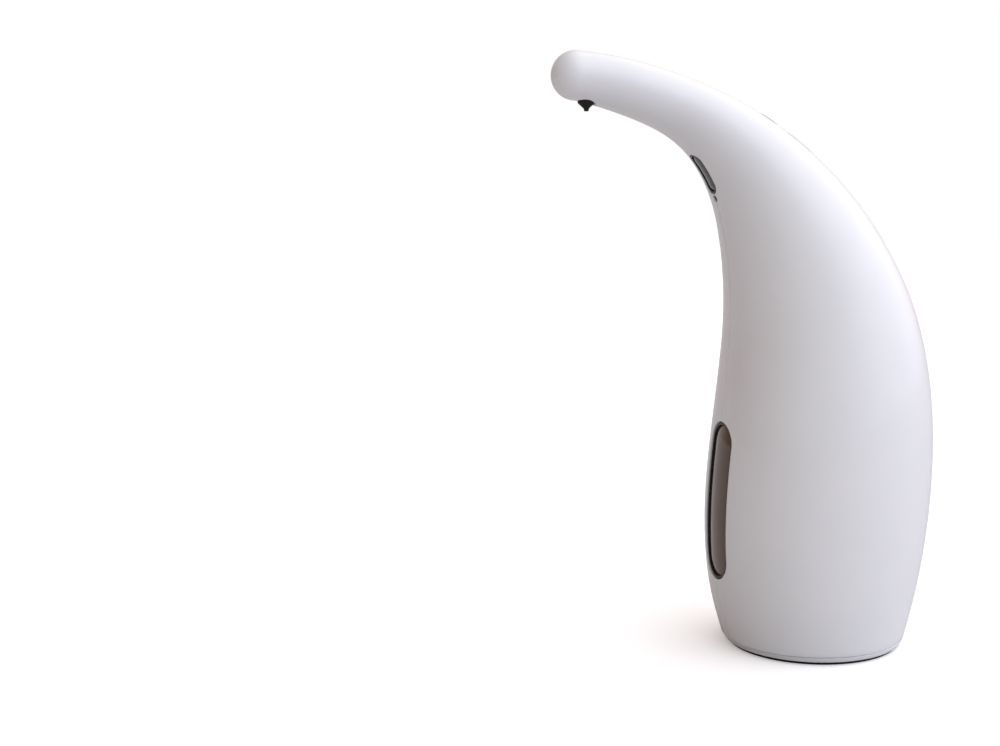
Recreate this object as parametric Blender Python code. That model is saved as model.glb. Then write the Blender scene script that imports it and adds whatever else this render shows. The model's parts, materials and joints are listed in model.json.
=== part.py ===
"""Battery soap dispenser with a swan-necked body, a gear pump and an infrared sensor.

Lengths are in metres. The world is +Z up, the spout points along -Y and the body is symmetric about
X = 0. Inside this file a place is written as (x, forward, height), forward being the distance ahead
of the axis of the base, and at() turns it into world coordinates.
"""

import math

import bmesh
import bpy
import numpy as np
from mathutils import Matrix, Vector

mm = 0.001

# Body
body_height = 197.2 * mm
body_depth = 132.0 * mm
section_width_share = 0.93
shell_wall = 2.2 * mm
rim_height = 5.5 * mm
seam_gap = 0.3 * mm
fit_gap = 0.3 * mm
overrun = 4.0 * mm

# Front line and back line of the body in its middle plane, as (forward, height) shares of the
# body's depth and height, from the base to the spout
front_line_shares = [(0.229, 0.0), (0.271, 0.112), (0.279, 0.254), (0.257, 0.406), (0.237, 0.532),
                     (0.238, 0.632), (0.263, 0.735), (0.318, 0.815), (0.412, 0.871), (0.549, 0.907),
                     (0.636, 0.922)]
back_line_shares = [(-0.228, 0.0), (-0.265, 0.112), (-0.293, 0.254), (-0.295, 0.406), (-0.261, 0.543),
                    (-0.190, 0.659), (-0.071, 0.772), (0.091, 0.870), (0.276, 0.940), (0.477, 0.984),
                    (0.636, 1.0)]
body_rings = 19
body_sides = 24
cap_rings = 3

# Base tray, foot and battery door
rim_inset = 0.5 * mm
rim_round = 1.4 * mm
tray_floor = 2.0 * mm
tube_sink = 1.0 * mm
spigot_height = 3.2 * mm
spigot_wall = 1.6 * mm
foot_height = 1.0 * mm
foot_depth = 0.8 * mm
foot_width = 2.2 * mm
foot_setback = 0.5 * mm
tube_forward = -8.0 * mm
tube_wall = 1.5 * mm
door_radius = 15.8 * mm
door_thickness = 2.0 * mm
door_recess = 0.3 * mm
door_edge = 0.4 * mm
door_spigot_height = 3.4 * mm
coin_slot_length = 15.0 * mm
coin_slot_width = 1.9 * mm
coin_slot_depth = 1.1 * mm
dimple_count = 3
dimple_radius = 0.9 * mm
dimple_depth = 0.45 * mm
dimple_steps = 8
dimple_place_share = 0.8
seal_section = 0.5 * mm
seal_groove = 0.9 * mm

# Cells and contacts
cell_radius = 5.25 * mm
cell_length = 44.5 * mm
cell_edge = 0.5 * mm
cell_nub_radius = 1.9 * mm
cell_nub_height = 0.9 * mm
cell_spacing = 10.9 * mm
bore_clearance = 0.45 * mm
contact_thickness = 0.4 * mm
contact_width = 5.0 * mm
carrier_thickness = 1.0 * mm
tube_roof = 1.7 * mm

# Screws into the shells
base_screw_radius = 1.1 * mm
base_screw_head_radius = 2.3 * mm
base_screw_head_height = 1.2 * mm
base_screw_length = 7.0 * mm
base_screw_places = [(19.2 * mm, -5.0 * mm), (12.0 * mm, 16.5 * mm)]
boss_radius = 2.8 * mm
boss_rise = 6.0 * mm
web_thickness = 1.8 * mm
screw_clearance = 0.25 * mm

# Reservoir and lid
reservoir_clearance = 1.0 * mm
reservoir_wall = 1.6 * mm
reservoir_bottom = 15.0 * mm
reservoir_top = 112.0 * mm
lead_channel = 26.5 * mm
well_clearance = 1.0 * mm
well_headroom = 4.0 * mm
gasket_thickness = 1.0 * mm
lid_thickness = 2.0 * mm

# Level window
window_height = 52.0 * mm
window_length = 54.0 * mm
window_width = 12.4 * mm
window_surround = 0.9 * mm
window_play = 0.2 * mm
window_recess = 1.0 * mm
window_thickness = 1.6 * mm
surround_recess = 0.4 * mm

# Sensor
sensor_height = 159.8 * mm
sensor_length = 15.4 * mm
sensor_width = 8.4 * mm
bezel_play = 0.2 * mm
bezel_wall = 1.0 * mm
bezel_recess = 0.25 * mm
bezel_flange = 1.2 * mm
bezel_flange_thickness = 1.0 * mm
lens_recess = 0.6 * mm
lens_thickness = 1.2 * mm
sensor_board_depth = 6.6 * mm
board_thickness = 1.4 * mm
sensor_board_width = 11.0 * mm
sensor_board_top = 8.5 * mm
sensor_board_bottom = 11.4 * mm
diode_radius = 1.5 * mm
diode_spacing = 7.0 * mm
diode_length = 4.0 * mm
light_radius = 1.0 * mm
light_offset = 9.8 * mm
light_proud = 0.1 * mm
light_flange_radius = 1.4 * mm
light_flange_height = 1.0 * mm

# Spout
nozzle_forward = 81.0 * mm
nozzle_radius = 3.3 * mm
nozzle_tip_radius = 1.1 * mm
nozzle_bore = 0.6 * mm
nozzle_drop = 3.3 * mm
elbow_radius = nozzle_radius
elbow_height = 6.8 * mm
elbow_bore = 2.0 * mm

# Tubes
tube_outer = 2.4 * mm
tube_bore = 1.6 * mm
barb_radius = 1.2 * mm
barb_bore = 0.7 * mm
barb_length = 4.5 * mm
tube_resolution = 2

# Places that the delivery tube passes, as (across, forward, rise above the pump)
delivery_places = [
    (15.8 * mm, 7.0 * mm, 13.0 * mm),
    (13.9 * mm, 12.9 * mm, 22.0 * mm),
    (11.8 * mm, 20.0 * mm, 29.0 * mm),
    (9.8 * mm, 26.0 * mm, 34.6 * mm),
    (8.2 * mm, 31.0 * mm, 42.0 * mm),
    (5.4 * mm, 38.0 * mm, 48.6 * mm),
    (2.2 * mm, 47.2 * mm, 54.4 * mm),
    (0.0, 62.5 * mm, 60.3 * mm),
]

# Intake
intake_spigot = 10.0 * mm
intake_route_shares = [(0.2, 0.78), (0.72, 0.53), (1.0, 0.28)]
filter_forward = 22.5 * mm
filter_radius = 4.4 * mm
filter_height = 6.0 * mm
filter_shoulder = 1.4 * mm
filter_socket = 2.9 * mm
filter_slots = 6
filter_slot_width = 0.7 * mm
filter_slot_height = 1.6 * mm

# Refill
plug_forward = 7.5 * mm
plug_radius = 7.0 * mm
plug_proud = 0.35 * mm
plug_thickness = 1.9 * mm
plug_stem_radius = 4.4 * mm
plug_stem_end = 6.4 * mm
plug_play = 0.3 * mm
neck_bore = 5.1 * mm
neck_wall = 0.75 * mm
neck_cup_depth = 8.4 * mm
neck_flange_radius = 8.0 * mm
neck_flange_thickness = 1.2 * mm
neck_foot_forward = -13.0 * mm
neck_foot_radius = 7.6 * mm
neck_foot_drop = 2.0 * mm
neck_route_shares = [(0.0, 0.0), (0.12, 0.095), (0.27, 0.195), (0.44, 0.33), (0.62, 0.50), (0.82, 0.69),
                     (0.96, 0.86), (1.0, 0.95), (1.0, 1.0)]

# Power button
button_forward = 18.8 * mm
button_radius = 4.3 * mm
button_proud = 0.3 * mm
button_body_depth = 3.6 * mm
button_flange_radius = 5.3 * mm
button_flange_thickness = 0.9 * mm
button_stem_radius = 1.5 * mm
button_stem_end = 6.2 * mm
button_travel = 0.8 * mm
switch_play = 0.2 * mm
switch_size = 6.0 * mm
switch_height = 3.0 * mm
switch_plunger_height = 0.5 * mm
switch_board_length = 12.0 * mm
switch_board_width = 11.0 * mm
shelf_thickness = 1.0 * mm
shelf_width = 3.0 * mm
shelf_lap = 0.8 * mm
shelf_shift = 4.2 * mm

# Pump and drive
pump_module = 1.0 * mm
pump_teeth = 9
pump_pressure_angle = math.radians(27.0)
reduction_module = 0.5 * mm
pinion_teeth = 10
reduction_teeth = 30
reduction_pressure_angle = math.radians(24.0)
tooth_clearance = 0.10 * mm
addendum_share = 0.82
dedendum_share = 1.12
pump_gear_height = 7.4 * mm
pump_floor = 2.5 * mm
pump_side_play = 0.3 * mm
pump_half_width = 13.6 * mm
pump_half_depth = 10.4 * mm
pump_corner = 2.0 * mm
cover_thickness = 2.2 * mm
shaft_radius = 1.5 * mm
shaft_play = 0.2 * mm
pivot_depth = 1.5 * mm
port_radius = 1.6 * mm
intake_offset = 4.6 * mm
outlet_offset = 7.4 * mm
outlet_reach = 16.3 * mm
lug_half_size = 2.0 * mm
gear_room = 5.5 * mm
reduction_face = 2.6 * mm
pinion_overlap = 0.2 * mm
mount_thickness = 1.5 * mm
post_radius = 1.9 * mm
post_inset = 2.4 * mm
pump_screw_radius = 0.9 * mm
pump_screw_head_radius = 1.6 * mm
pump_screw_head_height = 1.3 * mm
pump_screw_length = 17.0 * mm
motor_forward = 21.0 * mm
motor_radius = 8.0 * mm
motor_length = 20.0 * mm
motor_edge = 1.0 * mm
motor_cap_radius = 2.2 * mm
motor_cap_height = 0.6 * mm
motor_boss_radius = 3.0 * mm
motor_shaft_radius = 1.0 * mm
motor_shaft_grip = 6.0 * mm
collar_play = 0.3 * mm
collar_wall = 0.6 * mm
collar_height = 4.0 * mm

# Control board
board_side = 17.6 * mm
board_back = 3.0 * mm
board_front = 18.0 * mm
board_height = 22.0 * mm
bracket_back = 5.0 * mm
bracket_front = 15.0 * mm
bracket_height = 14.0 * mm
bracket_thickness = 1.5 * mm
chip_size = 6.0 * mm
chip_height = 1.1 * mm
chip_rise = 13.6 * mm
header_setback = 2.5 * mm
header_rise = 18.9 * mm
header_length = 3.6 * mm
header_height = 4.4 * mm
header_depth = 2.4 * mm

# Leads
lead_radius = 0.7 * mm
lead_resolution = 1
lead_lane = 29.2 * mm
lane_half_spacing = 3.0 * mm
lane_start = 8.0 * mm
lane_end = 8.0 * mm
lid_shift = 1.3 * mm
plus_landing = 5.0 * mm
minus_landing = 3.2 * mm
edge_run = 3.0 * mm
edge_swing = 0.9 * mm
edge_lead = 4.0 * mm
lead_rise = 3.0 * mm
sensor_lead_forward = 8.0 * mm
sensor_lead_x = -3.2 * mm
sensor_lead_y = -9.0 * mm
sensor_lead_steps = [4.0 * mm, 1.5 * mm, 0.0]
switch_lead_forward = 14.5 * mm
switch_lead_y = -0.6 * mm
switch_lead_steps = [3.0 * mm, 1.2 * mm, 0.0]

# Places that the leads pass: in the low turn as (across, forward, rise above the tube's headroom),
# in the high turn measured from the lane and the landing, and above the control board
low_turn_places = [(4.6 * mm, -18.0 * mm, 0.2 * mm), (3.2 * mm, -27.2 * mm, 0.9 * mm)]
high_turn_places = [(-2.0 * mm, 3.6 * mm, -0.2 * mm), (-8.0 * mm, 11.5 * mm, 0.0)]
sensor_lead_places = [(-12.4 * mm, 13.6 * mm, 12.6 * mm), (-8.2 * mm, 20.0 * mm, 19.6 * mm)]
switch_lead_places = [(-14.2 * mm, 16.4 * mm, 11.5 * mm), (-11.2 * mm, 20.6 * mm, 18.8 * mm),
                      (-9.8 * mm, 25.2 * mm, 23.4 * mm)]

steps_fine = 24
steps_round = 20
steps_small = 14
weld_distance = 0.001 * mm


def spline(points, count):
    """Smooth curve through the points at even steps, with relaxed ends."""
    p = np.array(points, float)
    n = len(p)
    system = np.diag(np.full(n, 4.0)) + np.diag(np.ones(n - 1), 1) + np.diag(np.ones(n - 1), -1)
    system[0, 0] = system[-1, -1] = 2.0
    right = np.zeros_like(p)
    right[1:-1] = 3.0 * (p[2:] - p[:-2])
    right[0] = 3.0 * (p[1] - p[0])
    right[-1] = 3.0 * (p[-1] - p[-2])
    slope = np.linalg.solve(system, right)
    out = []
    for s in np.linspace(0.0, n - 1.0, count):
        k = min(int(s), n - 2)
        f = s - k
        h00 = 2 * f ** 3 - 3 * f ** 2 + 1
        h10 = f ** 3 - 2 * f ** 2 + f
        h01 = 3 * f ** 2 - 2 * f ** 3
        h11 = f ** 3 - f ** 2
        out.append(h00 * p[k] + h10 * slope[k] + h01 * p[k + 1] + h11 * slope[k + 1])
    return np.array(out)


def side_lines(count):
    size = np.array([body_depth, body_height])
    front = spline(np.array(front_line_shares) * size, count)
    back = spline(np.array(back_line_shares) * size, count)
    return front, back


line_points = 400
front_line, back_line = side_lines(line_points)
spout_radius = 0.5 * float(np.linalg.norm(back_line[-1] - front_line[-1]))
spout_end = 0.5 * float(front_line[-1][0] + back_line[-1][0]) + spout_radius
body_back = float(back_line[:, 0].min())
axis_y = 0.5 * (spout_end + body_back)


def at(x, forward, height):
    return Vector((x, axis_y - forward, height))


def clear_scene():
    for thing in list(bpy.data.objects):
        bpy.data.objects.remove(thing, do_unlink=True)
    for store in (bpy.data.meshes, bpy.data.curves, bpy.data.materials):
        for block in list(store):
            store.remove(block)


def finish(name, colour, roughness, metallic=0.0, transmission=0.0):
    made = bpy.data.materials.new(name)
    made.use_nodes = True
    shader = made.node_tree.nodes["Principled BSDF"]
    shader.inputs["Base Color"].default_value = (*colour, 1.0)
    shader.inputs["Roughness"].default_value = roughness
    shader.inputs["Metallic"].default_value = metallic
    shader.inputs["Transmission Weight"].default_value = transmission
    return made


def solid(bm, name="blank"):
    mesh = bpy.data.meshes.new(name)
    bm.to_mesh(mesh)
    bm.free()
    thing = bpy.data.objects.new(name, mesh)
    bpy.context.scene.collection.objects.link(thing)
    return thing


def weld(mesh):
    """Joins the coinciding corners that a Boolean leaves side by side."""
    bm = bmesh.new()
    bm.from_mesh(mesh)
    bmesh.ops.remove_doubles(bm, verts=bm.verts, dist=weld_distance)
    bm.to_mesh(mesh)
    bm.free()


def combine(target, tool, operation):
    step = target.modifiers.new("combine", "BOOLEAN")
    step.operation = operation
    step.solver = "EXACT"
    step.object = tool
    bpy.context.view_layer.update()
    graph = bpy.context.evaluated_depsgraph_get()
    result = bpy.data.meshes.new_from_object(target.evaluated_get(graph))
    target.modifiers.remove(step)
    old = target.data
    target.data = result
    bpy.data.meshes.remove(old)
    weld(result)
    bpy.data.objects.remove(tool, do_unlink=True)
    return target


def cut(target, *tools):
    for tool in tools:
        combine(target, tool, "DIFFERENCE")
    return target


def fuse(target, *tools):
    for tool in tools:
        combine(target, tool, "UNION")
    return target


def within(target, *tools):
    for tool in tools:
        combine(target, tool, "INTERSECT")
    return target


def placed(thing, matrix):
    thing.data.transform(matrix)
    if matrix.to_3x3().determinant() < 0.0:
        thing.data.flip_normals()
    return thing


def piece(thing, name, material, pivot=None, crease=math.radians(32.0)):
    """Names the finished solid and puts its origin on the pivot, or leaves it at the world's."""
    thing.name = name
    thing.data.name = name
    thing.data.materials.clear()
    thing.data.materials.append(material)
    if pivot is not None:
        thing.data.transform(Matrix.Translation(-pivot))
        thing.location = pivot
    thing.data.shade_smooth()
    thing.data.set_sharp_from_angle(angle=crease)
    return thing


def skin(offset, rings=body_rings, sides=body_sides):
    """Closed body of elliptic sections, drawn in from the outer surface by the offset."""
    front, back = side_lines(rings)
    centres = 0.5 * (front + back)
    halves = 0.5 * (back - front)
    depth = np.linalg.norm(halves, axis=1)
    along = halves / depth[:, None]
    rows = []
    for centre, direction, half in zip(centres, along, depth):
        rows.append((centre, direction, half - offset, section_width_share * half - offset))
    centre, direction, half, width = rows[-1]
    forward = np.array([direction[1], -direction[0]])
    for k in range(1, cap_rings + 1):
        turn = 0.5 * math.pi * k / (cap_rings + 0.6)
        rows.append((centre + forward * half * math.sin(turn), direction,
                     half * math.cos(turn), width * math.cos(turn)))
    bm = bmesh.new()
    loops = []
    for centre, direction, half, width in rows:
        loop = []
        for k in range(sides):
            turn = 2.0 * math.pi * k / sides
            place = centre + direction * half * math.cos(turn)
            loop.append(bm.verts.new(at(width * math.sin(turn), place[0], place[1])))
        loops.append(loop)
    tip = bm.verts.new(at(0.0, *(rows[len(front) - 1][0] + forward * (rows[len(front) - 1][2]))))
    for low, high in zip(loops[:-1], loops[1:]):
        for k in range(sides):
            j = (k + 1) % sides
            bm.faces.new((low[k], low[j], high[j], high[k]))
    for k in range(sides):
        bm.faces.new((loops[-1][k], loops[-1][(k + 1) % sides], tip))
    bm.faces.new(loops[0])
    bmesh.ops.recalc_face_normals(bm, faces=bm.faces)
    return bm


def slice_off(bm, point, outward):
    """Cuts the body flat at the plane and closes it, keeping the side behind the normal."""
    every = bm.verts[:] + bm.edges[:] + bm.faces[:]
    bmesh.ops.bisect_plane(bm, geom=every, plane_co=point, plane_no=outward, clear_outer=True)
    rim = [edge for edge in bm.edges if edge.is_boundary]
    bmesh.ops.holes_fill(bm, edges=rim, sides=0)
    bmesh.ops.recalc_face_normals(bm, faces=bm.faces)
    return bm


up = Vector((0.0, 0.0, 1.0))
down = Vector((0.0, 0.0, -1.0))


def skin_slab(offset, low, high):
    bm = skin(offset)
    slice_off(bm, at(0.0, 0.0, high), up)
    slice_off(bm, at(0.0, 0.0, low), down)
    return solid(bm)


def band(outer_offset, inner_offset):
    return cut(solid(skin(outer_offset)), solid(skin(inner_offset)))


def box(low, high):
    bm = bmesh.new()
    bmesh.ops.create_cube(bm, size=1.0)
    low, high = Vector(low), Vector(high)
    size = high - low
    bmesh.ops.scale(bm, vec=size, verts=bm.verts)
    bmesh.ops.translate(bm, vec=0.5 * (low + high), verts=bm.verts)
    return solid(bm)


def rod(radius, low, high, steps=steps_small, x=0.0, y=0.0, top_radius=None):
    bm = bmesh.new()
    end = radius if top_radius is None else top_radius
    bmesh.ops.create_cone(bm, cap_ends=True, cap_tris=False, segments=steps, radius1=radius,
                          radius2=end, depth=high - low)
    bmesh.ops.translate(bm, vec=(x, y, 0.5 * (low + high)), verts=bm.verts)
    return solid(bm)


def turned(outline, steps=steps_fine, squeeze=1.0):
    """Solid of revolution about Z from (radius, height) points; squeeze narrows it across."""
    bm = bmesh.new()
    points = [bm.verts.new((radius, 0.0, height)) for radius, height in outline]
    pairs = list(zip(points[:-1], points[1:]))
    if outline[0][0] > 0.0 or outline[-1][0] > 0.0:
        pairs.append((points[-1], points[0]))
    edges = [bm.edges.new(pair) for pair in pairs]
    bmesh.ops.spin(bm, geom=points + edges, cent=(0.0, 0.0, 0.0), axis=(0.0, 0.0, 1.0),
                   angle=2.0 * math.pi, steps=steps, use_merge=True)
    bmesh.ops.remove_doubles(bm, verts=bm.verts, dist=weld_distance)
    bmesh.ops.rotate(bm, matrix=Matrix.Rotation(0.5 * math.pi, 3, "Z"), verts=bm.verts)
    bmesh.ops.scale(bm, vec=(squeeze, 1.0, 1.0), verts=bm.verts)
    bmesh.ops.recalc_face_normals(bm, faces=bm.faces)
    return solid(bm)


def prism(outline, low, high):
    bm = bmesh.new()
    face = bm.faces.new([bm.verts.new((x, y, low)) for x, y in outline])
    bmesh.ops.recalc_face_normals(bm, faces=[face])
    grown = bmesh.ops.extrude_face_region(bm, geom=[face])
    moved = [item for item in grown["geom"] if isinstance(item, bmesh.types.BMVert)]
    bmesh.ops.translate(bm, vec=(0.0, 0.0, high - low), verts=moved)
    bmesh.ops.recalc_face_normals(bm, faces=bm.faces)
    return solid(bm)


def stadium(length, width, steps=8):
    """Outline with round ends, its length along Y."""
    radius = 0.5 * width
    reach = 0.5 * length - radius
    outline = []
    for end in (1.0, -1.0):
        for k in range(steps + 1):
            turn = math.pi * k / steps + (0.0 if end > 0.0 else math.pi)
            outline.append((radius * math.cos(turn), end * reach + radius * math.sin(turn)))
    return outline


def rounded_rectangle(half_width, half_depth, radius, steps=3):
    outline = []
    corners = [(1, 1, 0.0), (-1, 1, 0.5), (-1, -1, 1.0), (1, -1, 1.5)]
    for side, end, start in corners:
        for k in range(steps + 1):
            turn = math.pi * (start + 0.5 * k / steps)
            outline.append((side * (half_width - radius) + radius * math.cos(turn),
                            end * (half_depth - radius) + radius * math.sin(turn)))
    return outline


def route_curve(route, radius, count, resolution):
    """Round bar along a smooth curve through the route's own points."""
    line = bpy.data.curves.new("route", "CURVE")
    line.dimensions = "3D"
    line.bevel_depth = radius
    line.bevel_resolution = resolution
    line.use_fill_caps = True
    points = spline([tuple(p) for p in route], count)
    run = line.splines.new("POLY")
    run.points.add(len(points) - 1)
    for slot, place in zip(run.points, points):
        slot.co = (*place, 1.0)
    carrier = bpy.data.objects.new("route", line)
    bpy.context.scene.collection.objects.link(carrier)
    bpy.context.view_layer.update()
    graph = bpy.context.evaluated_depsgraph_get()
    mesh = bpy.data.meshes.new_from_object(carrier.evaluated_get(graph))
    bpy.data.objects.remove(carrier, do_unlink=True)
    bm = bmesh.new()
    bm.from_mesh(mesh)
    bpy.data.meshes.remove(mesh)
    bmesh.ops.remove_doubles(bm, verts=bm.verts, dist=weld_distance)
    bmesh.ops.recalc_face_normals(bm, faces=bm.faces)
    return solid(bm)


def straight_run(start, direction, length):
    """Places along a straight start of a route, so that the curve leaves it without a bow."""
    return [start + direction * length * share for share in (0.0, 0.5, 1.0)]


def stretched(route, reach):
    """The same route run on past both ends, for a bore."""
    first = route[0] + (route[0] - route[1]).normalized() * reach
    last = route[-1] + (route[-1] - route[-2]).normalized() * reach
    return [first] + list(route) + [last]


def hollow_tube(route, outer, inner, count, resolution=tube_resolution):
    tube = route_curve(route, outer, count, resolution)
    return cut(tube, route_curve(stretched(route, overrun), inner, count + 4, resolution))


def surface_frame(line, index):
    """Frame on the front or back line: X across, Z out of the body, Y up or down the line."""
    ahead = line[index + 1] - line[index - 1]
    ahead = ahead / np.linalg.norm(ahead)
    outward = np.array([ahead[1], -ahead[0]])
    if line is back_line:
        outward = -outward
    z_axis = Vector((0.0, -outward[0], outward[1]))
    x_axis = Vector((1.0, 0.0, 0.0))
    y_axis = z_axis.cross(x_axis)
    frame = Matrix((x_axis, y_axis, z_axis)).transposed().to_4x4()
    frame.translation = at(0.0, *line[index])
    return frame


def crossing(values, wanted):
    """First place along the line where the value passes the wanted one."""
    signs = np.sign(np.array(values) - wanted)
    return int(np.argmax(signs[1:] * signs[:-1] <= 0.0)) + 1


def front_frame_at_height(height):
    return surface_frame(front_line, crossing(front_line[:, 1], height))


def back_frame_at_forward(forward):
    start = int(np.argmin(back_line[:, 0]))
    return surface_frame(back_line, start + crossing(back_line[start:, 0], forward))


def underside_height(forward):
    start = crossing(front_line[:, 1], sensor_height)
    return float(front_line[start + crossing(front_line[start:, 0], forward)][1])


def half_depth_at(height):
    """Half depth of the body at a low height, where its sections are level."""
    front = float(np.interp(height, front_line[:, 1], front_line[:, 0]))
    back = float(np.interp(height, back_line[:, 1], back_line[:, 0]))
    return 0.5 * (front - back), 0.5 * (front + back)


sensor_frame = front_frame_at_height(sensor_height)
window_frame = front_frame_at_height(window_height)
plug_frame = back_frame_at_forward(plug_forward)
button_frame = back_frame_at_forward(button_forward)
nozzle_top = underside_height(nozzle_forward) + shell_wall + 2.0 * fit_gap
nozzle_tip = underside_height(nozzle_forward) - nozzle_drop

# Heights worked out from the base upwards
rim_top = rim_height - fit_gap
floor_top = rim_top
floor_low = floor_top - tray_floor - tube_sink
door_low = foot_height + door_recess
door_top = door_low + door_thickness
tube_bore_radius = 0.5 * cell_spacing * math.sqrt(2.0) + cell_radius + bore_clearance
tube_radius = tube_bore_radius + tube_wall
spigot_radius = tube_bore_radius - 1.5 * fit_gap
door_spigot_top = door_top + door_spigot_height
carrier_low = door_spigot_top + fit_gap
bridge_low = carrier_low + carrier_thickness
cell_low = bridge_low + contact_thickness + fit_gap
cell_high = cell_low + cell_length
top_contact_low = cell_high + fit_gap
tube_bore_top = top_contact_low + contact_thickness + fit_gap
tube_top = tube_bore_top + tube_roof
well_top = tube_top + well_headroom
gasket_top = reservoir_top + gasket_thickness
lid_top = gasket_top + lid_thickness
interior_offset = shell_wall + reservoir_clearance

# Pump heights and axes
pump_axis_half = 0.5 * pump_module * pump_teeth
gear_distance = 0.5 * reduction_module * (pinion_teeth + reduction_teeth)
pump_forward = motor_forward - math.sqrt(gear_distance ** 2 - pump_axis_half ** 2)
pump_low = lid_top
gear_low = pump_low + pump_floor + pump_side_play
pump_top = pump_low + pump_floor + pump_gear_height + 2.0 * pump_side_play
cover_top = pump_top + cover_thickness
reduction_low = cover_top + 0.5 * (gear_room - reduction_face)
mount_low = cover_top + gear_room
mount_top = mount_low + mount_thickness
motor_top = mount_top + motor_length
drive_axis = at(-pump_axis_half, pump_forward, 0.0)
driven_axis = at(pump_axis_half, pump_forward, 0.0)
motor_axis = at(0.0, motor_forward, 0.0)
pump_centre = at(0.0, pump_forward, 0.0)
tube_axis = at(0.0, tube_forward, 0.0)
post_x = pump_half_width - post_inset
post_y = pump_half_depth - post_inset
pump_screw_spots = [(post_x, pump_forward + post_y), (-post_x, pump_forward - post_y)]
pump_post_spots = pump_screw_spots + [(-post_x, pump_forward + post_y), (post_x, pump_forward - post_y)]


def make_finishes():
    return {
        "shell": finish("gloss_white", (0.86, 0.86, 0.87), 0.16),
        "rim": finish("rim_white", (0.82, 0.82, 0.83), 0.25),
        "rubber": finish("dark_rubber", (0.02, 0.02, 0.022), 0.6),
        "door": finish("door_white", (0.78, 0.78, 0.79), 0.35),
        "steel": finish("plated_steel", (0.72, 0.71, 0.69), 0.28, 1.0),
        "jacket": finish("cell_jacket", (0.10, 0.22, 0.15), 0.35),
        "smoke": finish("smoky_clear", (0.20, 0.155, 0.12), 0.12, 0.0, 0.7),
        "milky": finish("milky_plastic", (0.80, 0.81, 0.80), 0.4),
        "dark": finish("dark_plastic", (0.035, 0.035, 0.038), 0.3),
        "lens": finish("lens_grey", (0.22, 0.24, 0.22), 0.08, 0.0, 0.3),
        "board": finish("board_green", (0.03, 0.22, 0.10), 0.45),
        "silicone": finish("silicone_clear", (0.80, 0.82, 0.82), 0.35, 0.0, 0.4),
        "button": finish("button_grey", (0.55, 0.50, 0.55), 0.4),
        "acetal": finish("acetal_white", (0.85, 0.84, 0.80), 0.4),
        "brass": finish("brass", (0.80, 0.62, 0.28), 0.3, 1.0),
        "red": finish("red_wire", (0.60, 0.03, 0.03), 0.4),
        "black": finish("black_wire", (0.02, 0.02, 0.02), 0.4),
        "grey": finish("grey_wire", (0.35, 0.35, 0.36), 0.45),
    }


def make_shells(looks):
    shell = solid(slice_off(skin(0.0), at(0.0, 0.0, rim_height), down))
    hollow = solid(skin(shell_wall))
    cut(shell, hollow)
    for x, forward in base_screw_places:
        for side in (1.0, -1.0):
            fuse(shell, shell_boss(side * x, forward))
    for side in (1.0, -1.0):
        fuse(shell, switch_shelf(side))
    cut(shell, window_prism(window_length + 2.0 * window_surround, window_width + 2.0 * window_surround,
                            window_play))
    cut(shell, placed(prism(stadium(sensor_length + 2.0 * bezel_play, sensor_width + 2.0 * bezel_play),
                            -2.0 * shell_wall, overrun), sensor_frame))
    cut(shell, placed(rod(light_radius + screw_clearance, -2.0 * shell_wall, overrun, y=-light_offset),
                      sensor_frame))
    cut(shell, placed(rod(plug_radius + plug_play, -3.0 * shell_wall, overrun, steps_fine), plug_frame))
    cut(shell, placed(rod(button_radius + plug_play, -2.0 * shell_wall, overrun, steps_fine), button_frame))
    spout_hole = rod(nozzle_radius + fit_gap, nozzle_tip, nozzle_top + elbow_height)
    cut(shell, placed(spout_hole, Matrix.Translation(at(0.0, nozzle_forward, 0.0))))
    reach = body_depth
    half = box((0.5 * seam_gap, -reach, 0.0), (reach, reach, body_height + overrun))
    left = within(shell, half)
    right_mesh = left.data.copy()
    right = bpy.data.objects.new("shell", right_mesh)
    bpy.context.scene.collection.objects.link(right)
    placed(right, Matrix.Scale(-1.0, 4, (1.0, 0.0, 0.0)))
    piece(left, "shell_left", looks["shell"])
    piece(right, "shell_right", looks["shell"])


def shell_boss(x, forward):
    """Screw boss on a web that runs out to the shell's wall."""
    low = rim_top + 2.0 * fit_gap
    high = low + boss_rise
    post = rod(boss_radius, low, high)
    place = Matrix.Translation(at(x, forward, 0.0))
    placed(post, place)
    direction = Vector((x, -forward, 0.0))
    reach = half_depth_at(low)[0] - 0.5 * shell_wall - direction.length
    web_low = rim_top + spigot_height + fit_gap
    web = box((0.0, -0.5 * web_thickness, web_low), (reach, 0.5 * web_thickness, high))
    placed(web, place @ Matrix.Rotation(math.atan2(direction.y, direction.x), 4, "Z"))
    fuse(post, web)
    hole = placed(rod(base_screw_radius + screw_clearance, low - overrun, high + overrun), place)
    return cut(post, hole)


def switch_shelf(side):
    """Fin inside the shell that carries one edge of the switch board."""
    top = -(button_stem_end + button_travel + switch_play + switch_plunger_height + switch_height
            + board_thickness + 3.0 * fit_gap)
    inner = 0.5 * switch_board_width - shelf_lap
    outer = section_width_share * body_depth
    fin = box((inner, shelf_shift - 0.5 * shelf_width, top - shelf_thickness),
              (outer, shelf_shift + 0.5 * shelf_width, top))
    placed(fin, button_frame)
    within(fin, solid(skin(0.5 * shell_wall)))
    if side < 0.0:
        placed(fin, Matrix.Scale(-1.0, 4, (1.0, 0.0, 0.0)))
    return fin


def window_prism(length, width, play):
    shape = prism(stadium(length + 2.0 * play, width + 2.0 * play, 10), -3.0 * shell_wall, overrun)
    return placed(shape, window_frame)


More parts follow.
